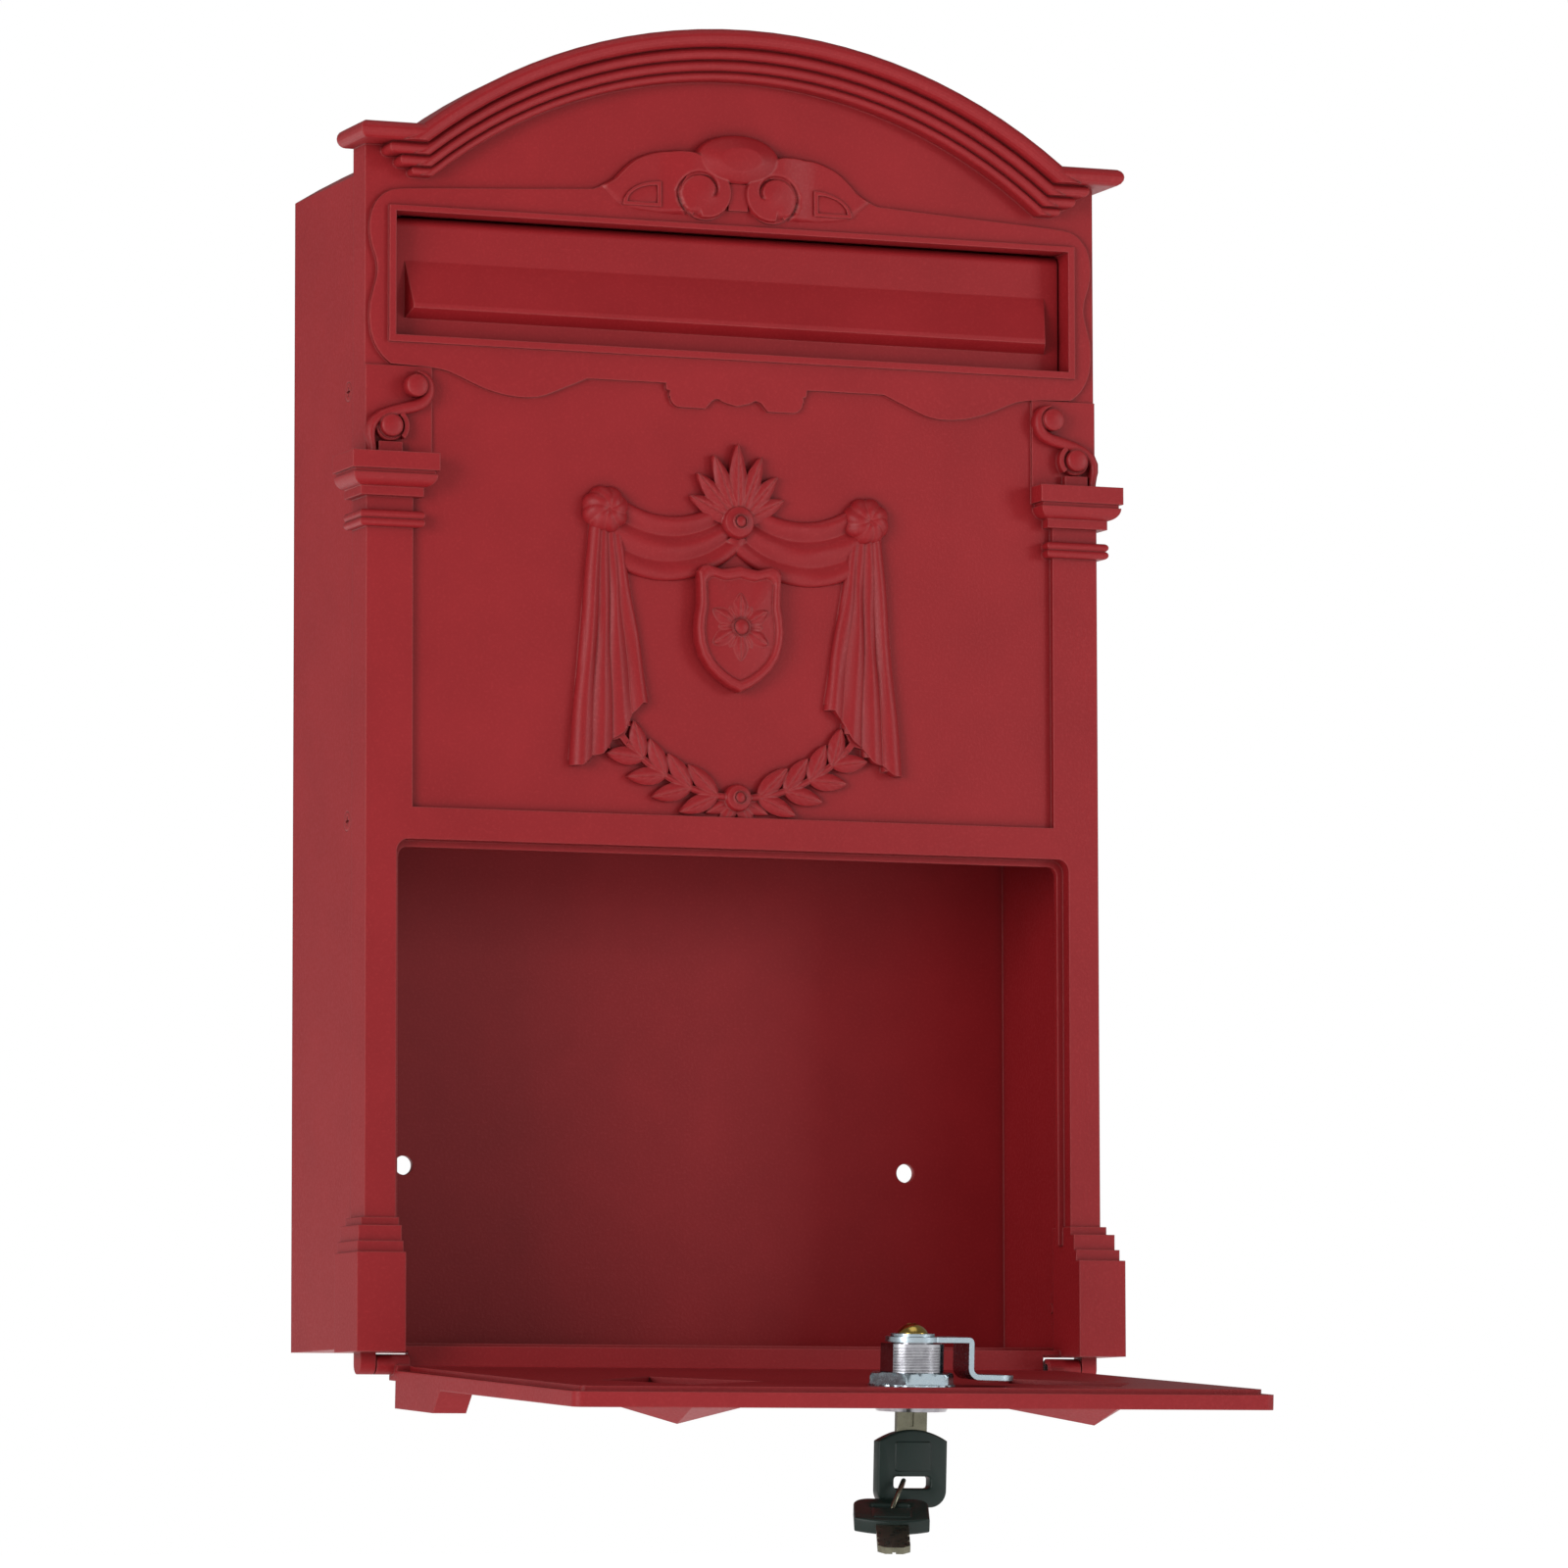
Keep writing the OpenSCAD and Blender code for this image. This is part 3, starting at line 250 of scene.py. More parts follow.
def add_node(tree, kind, settings=None, links=None):
    """Adds a node, sets its inputs or attributes, and links sockets into it."""
    node = tree.nodes.new(kind)
    for key, value in (settings or {}).items():
        if isinstance(key, int) or key in node.inputs:
            node.inputs[key].default_value = value
        else:
            setattr(node, key, value)
    for key, socket in (links or {}).items():
        tree.links.new(socket, node.inputs[key])
    return node


def blank_finish(name):
    """A new material with its shader, and the object's own coordinates for its patterns."""
    finish = bpy.data.materials.new(name)
    finish.use_nodes = True
    tree = finish.node_tree
    shader = tree.nodes["Principled BSDF"]
    where = add_node(tree, "ShaderNodeTexCoord").outputs["Object"]
    return finish, tree, shader, where


def powder_coat(colours):
    """Aluminium casting and steel sheet in red polyester powder coat, baked on. The powder
    doesn't flow out flat: it leaves a fine leathery grain of about 0.8 mm that scatters the
    light. The colour carries a painted highlight along sharp edges and a painted shade in the
    corners."""
    finish, tree, shader, where = blank_finish("red_powder_coat")
    grain = add_node(tree, "ShaderNodeTexNoise",
        {"Scale": 1150.0, "Detail": 2.0, "Roughness": 0.55}, {"Vector": where})
    cloud = add_node(tree, "ShaderNodeTexNoise",
        {"Scale": 38.0, "Detail": 3.0, "Roughness": 0.6}, {"Vector": where})
    soft = add_node(tree, "ShaderNodeBevel", {"samples": 4, "Radius": 0.0006})
    plain = add_node(tree, "ShaderNodeNewGeometry")
    align = add_node(tree, "ShaderNodeVectorMath", {"operation": "DOT_PRODUCT"},
        {0: soft.outputs["Normal"], 1: plain.outputs["True Normal"]})
    # painted highlight: this edge mask makes the colour paler along sharp edges, where they catch
    # the light
    edge = add_node(tree, "ShaderNodeMapRange",
        {"From Min": 0.995, "From Max": 0.86, "To Min": 0.0, "To Max": 0.5},
        {"Value": align.outputs["Value"]})
    # painted shade: the ambient occlusion darkens the colour in corners and hollows, where little
    # light reaches
    shelter = add_node(tree, "ShaderNodeAmbientOcclusion", {"samples": 4, "Distance": 0.004})
    corner = add_node(tree, "ShaderNodeMapRange",
        {"From Min": 0.25, "From Max": 0.85, "To Min": 0.62, "To Max": 0.0},
        {"Value": shelter.outputs["AO"]})
    base = add_node(tree, "ShaderNodeMix",
        {"data_type": "RGBA", 6: (*rgb("791217"), 1), 7: (*colours.paint, 1)},
        {0: cloud.outputs["Fac"]})
    speck = add_node(tree, "ShaderNodeMapRange",
        {"From Min": 0.52, "From Max": 0.74, "To Min": 0.0, "To Max": 0.30},
        {"Value": grain.outputs["Fac"]})
    grained = add_node(tree, "ShaderNodeMix",
        {"data_type": "RGBA", 7: (*rgb("952A2D"), 1)},
        {0: speck.outputs["Result"], 6: base.outputs[2]})
    # painted highlight: the colour is mixed towards a paler red along the sharp edges
    painted_highlight = add_node(tree, "ShaderNodeMix",
        {"data_type": "RGBA", 7: (*rgb("A24E4C"), 1)},
        {0: edge.outputs["Result"], 6: grained.outputs[2]})
    # painted shade: the colour is mixed towards a very dark red in the corners
    deep = add_node(tree, "ShaderNodeMix",
        {"data_type": "RGBA", 7: (*rgb("4C090C"), 1)},
        {0: corner.outputs["Result"], 6: painted_highlight.outputs[2]})
    rough = add_node(tree, "ShaderNodeMapRange",
        {"From Min": 0.3, "From Max": 0.7, "To Min": 0.52, "To Max": 0.42},
        {"Value": grain.outputs["Fac"]})
    bump = add_node(tree, "ShaderNodeBump", {"Strength": 0.55, "Distance": 0.00009},
        {"Height": grain.outputs["Fac"], "Normal": soft.outputs["Normal"]})
    tree.links.new(deep.outputs[2], shader.inputs["Base Color"])
    tree.links.new(rough.outputs["Result"], shader.inputs["Roughness"])
    tree.links.new(bump.outputs["Normal"], shader.inputs["Normal"])
    shader.inputs["IOR"].default_value = 1.31
    return finish


def plated(name, light, dark, roughness, spangle, scratch):
    """Plated steel: the metal takes its colour from two tones that meet in small cloudy
    patches, and fine drawn scratches spread its highlights along the piece."""
    finish, tree, shader, where = blank_finish(name)
    patches = add_node(tree, "ShaderNodeTexNoise",
        {"Scale": spangle, "Detail": 3.0, "Roughness": 0.65}, {"Vector": where})
    drawn = add_node(tree, "ShaderNodeMapping", {"Scale": (1.0, 1.0, 0.06)}, {"Vector": where})
    lines = add_node(tree, "ShaderNodeTexNoise",
        {"Scale": scratch, "Detail": 2.0}, {"Vector": drawn.outputs["Vector"]})
    tone = add_node(tree, "ShaderNodeMix",
        {"data_type": "RGBA", 6: (*rgb(dark), 1), 7: (*light, 1)},
        {0: patches.outputs["Fac"]})
    rough = add_node(tree, "ShaderNodeMapRange",
        {"From Min": 0.3, "From Max": 0.7, "To Min": roughness * 0.75, "To Max": roughness * 1.3},
        {"Value": patches.outputs["Fac"]})
    soft = add_node(tree, "ShaderNodeBevel", {"samples": 4, "Radius": 0.00018})
    bump = add_node(tree, "ShaderNodeBump", {"Strength": 0.25, "Distance": 0.00003},
        {"Height": lines.outputs["Fac"], "Normal": soft.outputs["Normal"]})
    tree.links.new(tone.outputs[2], shader.inputs["Base Color"])
    tree.links.new(rough.outputs["Result"], shader.inputs["Roughness"])
    tree.links.new(bump.outputs["Normal"], shader.inputs["Normal"])
    shader.inputs["Metallic"].default_value = 1.0
    return finish


def moulded_nylon(colours):
    """Black nylon, injection moulded over the key steel: a satin skin with a fine spark
    eroded grain, a shade greener than neutral, and slightly shinier where fingers rub it."""
    finish, tree, shader, where = blank_finish("black_moulded_nylon")
    grain = add_node(tree, "ShaderNodeTexNoise",
        {"Scale": 2600.0, "Detail": 2.0}, {"Vector": where})
    rub = add_node(tree, "ShaderNodeTexNoise",
        {"Scale": 160.0, "Detail": 2.0}, {"Vector": where})
    tone = add_node(tree, "ShaderNodeMix",
        {"data_type": "RGBA", 6: (*colours.plastic, 1), 7: (*rgb("0B201B"), 1)},
        {0: rub.outputs["Fac"]})
    rough = add_node(tree, "ShaderNodeMapRange",
        {"From Min": 0.3, "From Max": 0.7, "To Min": 0.38, "To Max": 0.52},
        {"Value": rub.outputs["Fac"]})
    soft = add_node(tree, "ShaderNodeBevel", {"samples": 4, "Radius": 0.0004})
    bump = add_node(tree, "ShaderNodeBump", {"Strength": 0.3, "Distance": 0.00004},
        {"Height": grain.outputs["Fac"], "Normal": soft.outputs["Normal"]})
    tree.links.new(tone.outputs[2], shader.inputs["Base Color"])
    tree.links.new(rough.outputs["Result"], shader.inputs["Roughness"])
    tree.links.new(bump.outputs["Normal"], shader.inputs["Normal"])
    shader.inputs["IOR"].default_value = 1.36
    return finish


def dress(nodes, finish):
    """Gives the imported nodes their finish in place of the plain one."""
    for name in nodes:
        mesh = frame["nodes"][name].data
        mesh.materials.clear()
        mesh.materials.append(finish)


# ---------------------------------------------------------------- relief


def leaf(long, wide, plateau, rise, veins=5):
    """A carved leaf with a grooved midrib and side veins."""

    def place(u, v):
        half = (wide / 2 + 0.35) * math.sin(math.pi * min(0.999, max(0.001, u)) ** 0.85) ** 0.7
        across = 2 * v - 1
        swell = math.sin(math.pi * (0.08 + 0.84 * u)) ** 0.6
        h = plateau + rise * swell * (1 - abs(across) ** 1.7)
        h -= 0.34 * rise * math.exp(-((across / 0.13) ** 2)) * swell
        h -= 0.10 * rise * abs(math.sin(math.pi * veins * (u - 0.35 * abs(across)))) * swell
        return (-0.3 + u * (long + 0.8), across * half, h - 0.15)

    return sink_edge(shaped(28, 14, place), -0.35)


def shield_outline():
    """Right half of the shield, from the middle of its top to its point."""
    return [
        (0, 19.5), (2, 19.0), (4, 18.6), (6, 18.4), (8, 18.9), (10.5, 19.6), (12.2, 19.0),
        (13.4, 17.4), (13.1, 13), (13, 8), (13.7, 4), (14, 0), (13.6, -4), (12.4, -8),
        (10.1, -11.6), (7, -14.6), (3.6, -17), (0, -18.6),
    ]


def shield():
    """A shield with a moulded rim round a slightly domed field."""
    right = shield_outline()
    outline = right + [(-x, y) for x, y in reversed(right[1:-1])]
    n = len(outline)
    # share of the full outline, and height
    steps = [
        (1.035, -0.4), (1.035, 3.3), (1.025, 4.2), (0.99, 4.75), (0.94, 4.95), (0.885, 4.8),
        (0.85, 4.3), (0.835, 3.75), (0.70, 3.95), (0.45, 4.25), (0.2, 4.4), (0, 4.42),
    ]

    def place(u, v):
        t = u * n
        i = int(t) % n
        f = t - int(t)
        a, b = outline[i], outline[(i + 1) % n]
        s, h = between(steps, v)
        return ((a[0] + (b[0] - a[0]) * f) * s, (a[1] + (b[1] - a[1]) * f) * s, h)

    bm = shaped(n * 3, (len(steps) - 1) * 2, place)
    return sink_edge(bm, -0.4)


def boss(radius, height, low=-0.4, shoulder=0.55):
    """A domed round boss with a fine step round its foot."""
    return turned([
        (radius, low), (radius, height * shoulder), (radius * 0.97, height * (shoulder + 0.1)),
        (radius * 0.86, height * 0.86), (radius * 0.62, height * 0.96), (radius * 0.3, height),
        (0.001, height * 1.02),
    ], 48)


# The pleats of the falling cloth: x and z at the top and at the hem, and their radius there.
TAIL_FOLDS = [
    ((46, 32), (52, -44), 2.4, 3.4), ((44, 31), (45, -40), 2.0, 3.2),
    ((42, 30), (38, -33), 1.8, 3.0), ((40, 29), (32, -24), 1.6, 2.6),
]


def cloth_tail():
    """The end of the cloth that falls in four pleats from its knot, with a scalloped hem."""

    def fold(t, v):
        i = min(int(t), 2)
        f = t - i
        a, b = TAIL_FOLDS[i], TAIL_FOLDS[i + 1]
        f = f * f * (3 - 2 * f) * 0.35 + f * 0.65

        def mix(pleat):
            (x0, z0), (x1, z1), r0, r1 = pleat
            return (x0 + (x1 - x0) * v, z0 + (z1 - z0) * v, r0 + (r1 - r0) * v)

        return [p + (q - p) * f for p, q in zip(mix(a), mix(b))]

    def place(u, w):
        v = -0.03 + 1.03 * w
        side = 0
        if u < 0.12:
            side, t = 1, 0.0
            lean = (0.12 - u) / 0.12
        elif u > 0.88:
            side, t = -1, 2.9999
            lean = (u - 0.88) / 0.12
        else:
            t, lean = (u - 0.12) / 0.76 * 2.9999, 0.0
        x, z, r = fold(t, v)
        valley = 0.9 + (0.68 - 0.9) * ease(v / 0.55)
        pleat = valley + (1.13 - valley) * abs(math.cos(math.pi * t)) ** 0.8
        angle = lean * math.radians(92)
        h = r * pleat * math.cos(angle)
        x += side * r * 1.03 * math.sin(angle)
        hem = 1.1 * w ** 12 * (0.5 + abs(math.cos(math.pi * t)))
        sway = 0.35 * math.sin(v * 9 + t * 1.7) * math.sin(math.pi * min(1, max(0, v)))
        return (x + sway, z - hem, h + 0.25 * math.sin(v * 7 + t * 2.1) * ease(v * 3) * (1 - lean))

    return sink_edge(shaped(100, 64, place), -0.5)


def cloth_swag():
    """The cloth that hangs in three rounded folds between the middle and the knot."""

    def place(u, w):
        angle = math.radians(218.6 + 94 * u)
        lean = 0.0
        side = 0
        if w < 0.1:
            side, i, lean = 1, 0.0, (0.1 - w) / 0.1
        elif w > 0.9:
            side, i, lean = -1, 2.0, (w - 0.9) / 0.1
        else:
            i = (w - 0.1) / 0.8 * 2
        r = 31 + i - side * 2.2 * math.sin(lean * math.pi / 2)
        ridge = abs(math.cos(math.pi * i)) ** 1.3
        crease = 0.16 * math.sin(u * 17 + i * 4) * math.sin(math.pi * u)
        h = (0.75 + (1.55 - 0.25 * i) * ridge + crease) * math.cos(lean * math.radians(86)) - 0.1
        return (22 + i + r * math.cos(angle), 62 - 7 * i + r * math.sin(angle), h)

    return sink_edge(shaped(64, 60, place), -0.5)


def cloth_knot():
    """The cloth gathered into a puffed knot of eight lobes."""

    def place(u, v):
        turn = math.tau * u
        rise = v * math.pi / 2
        puff = 1 + 0.10 * abs(math.sin(4 * turn)) * math.cos(rise)
        puff -= 0.16 * math.exp(-((v - 1) / 0.16) ** 2)
        r = 7.1 * puff * math.cos(rise)
        twist = turn + 0.5 * v
        return (r * math.cos(twist), r * math.sin(twist), 5.6 * puff * math.sin(rise))

    return sink_edge(shaped(64, 16, place), -0.5)


def strand(points, half, height, low=-0.4, taper=0.0):
    """A rounded band that follows flat points, such as a stem or the edge of a scroll."""
    line = [Vector((x, y, 0)) for x, y in points]
    lengths = [0.0]
    for a, b in zip(line, line[1:]):
        lengths.append(lengths[-1] + (b - a).length)

    def at(d):
        for i in range(len(line) - 1):
            if d <= lengths[i + 1] or i == len(line) - 2:
                f = (d - lengths[i]) / max(1e-9, lengths[i + 1] - lengths[i])
                return line[i].lerp(line[i + 1], f)

    def place(u, v):
        d = u * lengths[-1]
        step = lengths[-1] * 0.01
        here = at(d)
        ahead = (at(min(lengths[-1], d + step)) - at(max(0, d - step))).normalized()
        across = Vector((-ahead.y, ahead.x, 0))
        turn = math.pi * (v - 0.5)
        width = half * (1 - taper * u)
        rise = height * (1 - 0.4 * taper * u)
        p = here + across * width * math.sin(turn)
        return (p.x, p.y, max(low, rise * math.cos(turn) ** 0.6))

    return sink_edge(shaped(max(24, int(lengths[-1] * 2.2)), 12, place), low)


# The band of a scroll bracket from the capital's top outer corner: x, z and half width.
SCROLL_LINE = [
    (-15.9, 25.6, 0.4), (-17.8, 25.0, 0.9), (-19.5, 23.5, 1.4), (-20.2, 21.3, 1.6),
    (-19.8, 18.4, 1.75), (-18.3, 16.2, 1.85), (-16, 15.1, 1.9), (-12.5, 14.1, 1.9),
    (-8.5, 13.0, 1.8), (-4.8, 11.7, 1.7), (-2.2, 9.7, 1.55), (-1.3, 7.6, 1.4),
    (-1.1, 5.2, 1.3), (-1.6, 2.4, 1.2), (-1.9, -0.6, 1.1),
]


def ribbon(line, height, low=-1.0):
    """A band along (x, y, half width) points, rounded across, that thins with its width."""
    marks = marks_of(line)
    tables = [[(m, p[i]) for m, p in zip(marks, line)] for i in range(3)]

    def smooth(i, d):
        near = [along(tables[i], min(marks[-1], max(0, d + o))) for o in (-0.8, 0, 0.8)]
        return (near[0] + near[1] + near[2]) / 3

    def place(u, v):
        d = u * marks[-1]
        x, y, half = (smooth(i, d) for i in range(3))
        dx, dy = (smooth(i, d + 0.3) - smooth(i, d - 0.3) for i in (0, 1))
        size = math.hypot(dx, dy) or 1
        turn = math.pi * (v - 0.5)
        side = half * math.sin(turn)
        rise = low + (height - low) * max(0.0, math.cos(turn)) ** 0.3
        return (x - dy / size * side, y + dx / size * side, rise)

    return sink_edge(shaped(90, 16, place), low)


# How far the hood over the slot reaches from the middle of its scroll, by angle in degrees
# from straight down, counted over the inner side; and where the groove runs that rolls it up.
HOOD = [
    (0, 8.7), (45, 8.9), (90, 9.0), (135, 9.0), (158, 9.4), (180, 11.2), (194, 12.9),
    (208, 14.6), (224, 17.2), (239, 21.6), (250, 25.2), (258, 27.6), (265, 30), (270, 34.4),
    (276, 31.5), (281, 29.5), (291.5, 20.4), (300, 15.6), (311.6, 12), (325, 10), (335, 9.2),
    (345, 8.8), (360, 8.7),
]
GROOVE = [
    (52, 2.3), (75, 3.1), (105, 3.6), (140, 4.3), (180, 5.3), (210, 6.3), (240, 7.6), (270, 8.9),
    (300, 9.0), (330, 8.9), (360, 8.8),
]


def hood():
    """The raised edge over the slot that thickens towards the middle and rolls into a scroll.
    Drawn for the right side, round the middle of the scroll."""

    def place(u, v):
        turn = 360 * u
        reach = along(HOOD, turn)
        r = reach * v
        a = math.radians(turn)
        x, y = -r * math.sin(a), -r * math.cos(a)
        h = -0.42 + 1.65 * ease((16 - x) / 13) + 0.3 * ease((5 - r) / 5)
        # the rim is steep, and slopes away more gently on the outer side, below the point
        soft = 1.1 + 3.4 * ease((turn - 262) / 20) * ease((352 - turn) / 12)
        h += (-1.5 - h) * (1 - ease((reach - r) / soft)) ** 2
        if turn > 48:
            side = r - along(GROOVE, turn)
            width = 0.42 if side < 0 else 0.62
            deep = 1.35 * ease((turn - 48) / 50) * ease((360 - turn) / 45)
            h -= deep * math.exp(-((side / width) ** 2))
        return (x, y, max(h, -1.7))

    return sink_edge(shaped(200, 64, place), -2.2)


def quarter():
    """The sunk panel of the quarter oval on the hood, from its square corner."""

    def place(u, v):
        a = u * math.pi / 2
        swell = -0.4 + 0.25 * math.sin(math.pi * v)
        return (10.3 * v * math.cos(a), 5.9 * v * math.sin(a), swell)

    return sink_edge(shaped(24, 10, place), -1.8)


def shell():
    """The little shell between the scrolls: a flat front on a rounded, hollowed back."""
    steps = [
        (1.04, -2.4), (1.03, -0.4), (0.99, 0.7), (0.9, 1.5), (0.74, 2.5), (0.56, 3.5),
        (0.5, 3.75), (0.44, 3.8), (0.2, 3.9), (0, 3.95),
    ]  # share of the full outline, and height

    def place(u, v):
        a = math.tau * u
        scale, h = between(steps, v)
        # the front face narrows to a point below, as on a scallop
        pinch = 1 - 0.35 * ease((0.75 - scale) / 0.3) * max(0.0, -math.sin(a)) ** 2
        x, y = 13.4 * scale * pinch * math.cos(a), 7.6 * scale * math.sin(a)
        return (x, y - 1.1 * (1 - scale), h)

    return sink_edge(shaped(80, 32, place), -3.0)


def barrel_thread(pitch, depth):
    """The thread of the lock barrel, one ridge spun in a helix and cut off at its two flats."""
    start, end = -18.3, -10.9
    core, crest = 9.18, 9.3 + depth
    flat = 7.96  # from the axis to each flat
    per_lap = 72
    rows = [
        (core, 0), (core + 0.02, 0.1), (crest, pitch * 0.34), (crest, pitch * 0.66),
        (core + 0.02, pitch * 0.9),
    ]
    bm = bmesh.new()
    verts = [bm.verts.new((r, 0, start + z)) for r, z in rows]
    edges = [bm.edges.new(pair) for pair in zip(verts, verts[1:])]
    laps = int((end - start) / pitch)
    bmesh.ops.spin(bm, geom=verts + edges, cent=(0, 0, 0), axis=(0, 0, 1),
        dvec=(0, 0, pitch / per_lap), angle=math.tau * laps, steps=per_lap * laps,
        use_merge=False, use_duplicate=False)
    bmesh.ops.remove_doubles(bm, verts=bm.verts, dist=0.02)
    for side in (-1, 1):
        whole = list(bm.verts) + list(bm.edges) + list(bm.faces)
        bmesh.ops.bisect_plane(bm, geom=whole, dist=0.0001, plane_co=(side * flat, 0, 0),
            plane_no=(side, 0, 0), clear_outer=True)
    return bm


# The nut and its washer from the door inwards: radius, height and how the level is cut. The
# six flats cut it where it says HEX, a number is the depth of the washer's teeth, and 0 is round.
HEX = -1
NUT_FLATS = 23.0
NUT_LEVELS = [
    (11.2, -6.6, 0), (12.4, -6.6, 0.4), (12.4, -7.15, 0.4), (12.0, -7.15, 0), (13.4, -7.15, HEX),
    (13.4, -7.55, HEX), (13.4, -9.6, HEX), (12.7, -10.3, HEX), (11.6, -10.62, HEX),
    (9.6, -10.62, 0), (9.32, -10.2, 0), (9.32, -6.6, 0),
]


def nut_and_washer():
    """The hex nut with its chamfers, on a washer with twenty teeth, as one skin round the axis."""

    def place(u, v):
        turn = math.tau * u
        flat = NUT_FLATS / 2 / math.cos((turn % math.radians(60)) - math.radians(30))
        teeth = abs(math.sin(turn * 10))
        rows = [(min(flat, r) if cut == HEX else r + cut * teeth, z) for r, z, cut in NUT_LEVELS]
        r, z = between(rows, v)
        return (r * math.cos(turn), r * math.sin(turn), z)

    return shaped(180, len(NUT_LEVELS) - 1, place)


def cam_strip():
    """The cam, bent twice from one strip: a round eye under its screw, a step towards the door
    and a round tip behind the casting."""
    thick, half_w, eye, bend = 1.6, 6.0, 8.0, 1.7
    step_x, tip_x = 17.2, 31.8
    top, heel, tip, seat = -20.2, -11.1, -9.1, -21.0
    path = [(-eye, top), (step_x - bend, top)]
    path += arc(step_x - bend, top + bend, bend, -75, 0, 5)
    path += [(step_x, heel)] + arc(step_x + bend, heel, bend, 165, 90, 5) + [(tip_x, tip)]
    marks = marks_of(path)
    total = marks[-1]
    across = [(m, x) for m, (x, z) in zip(marks, path)]
    upward = [(m, z) for m, (x, z) in zip(marks, path)]

    def place(u, v):
        d = u * total
        half = half_w
        if d < eye:
            half = math.sqrt(max(0, eye**2 - (eye - d) ** 2))
        elif d < 14:
            half = max(half_w, math.sqrt(max(0, eye**2 - (d - eye) ** 2)))
        elif d > total - half_w:
            half = math.sqrt(max(0, half_w**2 - (d - total + half_w) ** 2))
        return (along(across, d), (2 * v - 1) * half, along(upward, d))

    bm = shaped(150, 16, place)
    bmesh.ops.remove_doubles(bm, verts=bm.verts, dist=0.01)
    bmesh.ops.recalc_face_normals(bm, faces=bm.faces)
    skin = list(bm.verts) + list(bm.edges) + list(bm.faces)
    bmesh.ops.solidify(bm, geom=skin, thickness=thick)
    lowest = min(v.co.z for v in bm.verts)
    bmesh.ops.translate(bm, verts=bm.verts, vec=(0, 0, seat - lowest))
    return bm


def bow_outline():
    """The grip of a key: a low arch at the blade, straight sides, round corners at the end."""
    half_w, end, corner, drop, steps = 10.9, 22.7, 5.0, 3.3, 16
    spots = [-half_w + 2 * half_w * i / steps for i in range(steps + 1)]
    arch = [(x, drop * (x / half_w) ** 2) for x in spots]
    x, z = half_w - corner, end - corner
    return arch + arc(x, z, corner, 0, 90, 10) + arc(-x, z, corner, 90, 180, 10)


def moulded(outline, hole, thick, edge):
    """A plate with softened edges and, where hole has points, a way through it."""
    bm = bmesh.new()
    rings = []
    for loop in (outline, hole):
        verts = [bm.verts.new((x, -thick / 2, z)) for x, z in loop]
        rings += [bm.edges.new((a, b)) for a, b in zip(verts, verts[1:] + verts[:1])]
    bmesh.ops.triangle_fill(bm, use_beauty=True, use_dissolve=False, edges=rings)
    geom = bmesh.ops.extrude_face_region(bm, geom=list(bm.faces), use_keep_orig=True)["geom"]
    moved = [g for g in geom if isinstance(g, bmesh.types.BMVert)]
    bmesh.ops.translate(bm, verts=moved, vec=(0, thick, 0))
    bmesh.ops.recalc_face_normals(bm, faces=bm.faces)
    bmesh.ops.dissolve_limit(bm, angle_limit=0.01, verts=bm.verts, edges=bm.edges)
    sharp = [e for e in bm.edges if e.is_manifold and e.calc_face_angle() > 0.9]
    sharp = [e for e in sharp if abs(e.verts[0].co.y - e.verts[1].co.y) < 0.01]
    bmesh.ops.bevel(bm, geom=sharp, offset=edge, offset_type="OFFSET", segments=3,
        affect="EDGES", profile=0.5, material=-1, clamp_overlap=True)
    return bm


def oblong(w, h, x, z, r):
    """An upright oblong with round corners, round (x, z)."""
    loop = []
    for i, (sx, sz) in enumerate(((1, 1), (-1, 1), (-1, -1), (1, -1))):
        loop += arc(x + sx * (w / 2 - r), z + sz * (h / 2 - r), r, 90 * i, 90 * i + 90, 5)
    return loop


# ---------------------------------------------------------------- settings


class LetterBoxColours(bpy.types.PropertyGroup):
    paint: FloatVectorProperty(
        name="Paint", description="Colour of the powder coat in the light", subtype="COLOR",
        size=3, min=0, max=1, default=rgb("891A1F"),
    )
    nickel: FloatVectorProperty(
        name="Nickel", description="Colour of the plated lock and key steel", subtype="COLOR",
        size=3, min=0, max=1, default=rgb("B6B6BA"),
    )
    zinc: FloatVectorProperty(
        name="Zinc", description="Colour of the bright zinc on nut, cam and washer",
        subtype="COLOR", size=3, min=0, max=1, default=rgb("B3C0C6"),
    )
    brass: FloatVectorProperty(
        name="Brass", description="Colour of the cam screw", subtype="COLOR",
        size=3, min=0, max=1, default=rgb("C6A95E"),
    )
    plastic: FloatVectorProperty(
        name="Key bow", description="Colour of the moulded key bows", subtype="COLOR",
        size=3, min=0, max=1, default=rgb("05130F"),
    )


class LetterBoxSizes(bpy.types.PropertyGroup):
    thread_pitch: FloatProperty(
        name="Thread pitch", description="Distance between the turns of the barrel's thread",
        subtype="DISTANCE", unit="LENGTH", default=0.0008, min=0.0005, max=0.002,
    )
    thread_depth: FloatProperty(
        name="Thread depth", description="How far the thread stands out of the barrel",
        subtype="DISTANCE", unit="LENGTH", default=0.00011, min=0.00005, max=0.0006,
    )
    leaf_rise: FloatProperty(
        name="Leaf rise", description="How far a leaf swells above its flat form",
        subtype="DISTANCE", unit="LENGTH", default=0.0013, min=0.0005, max=0.002,
    )


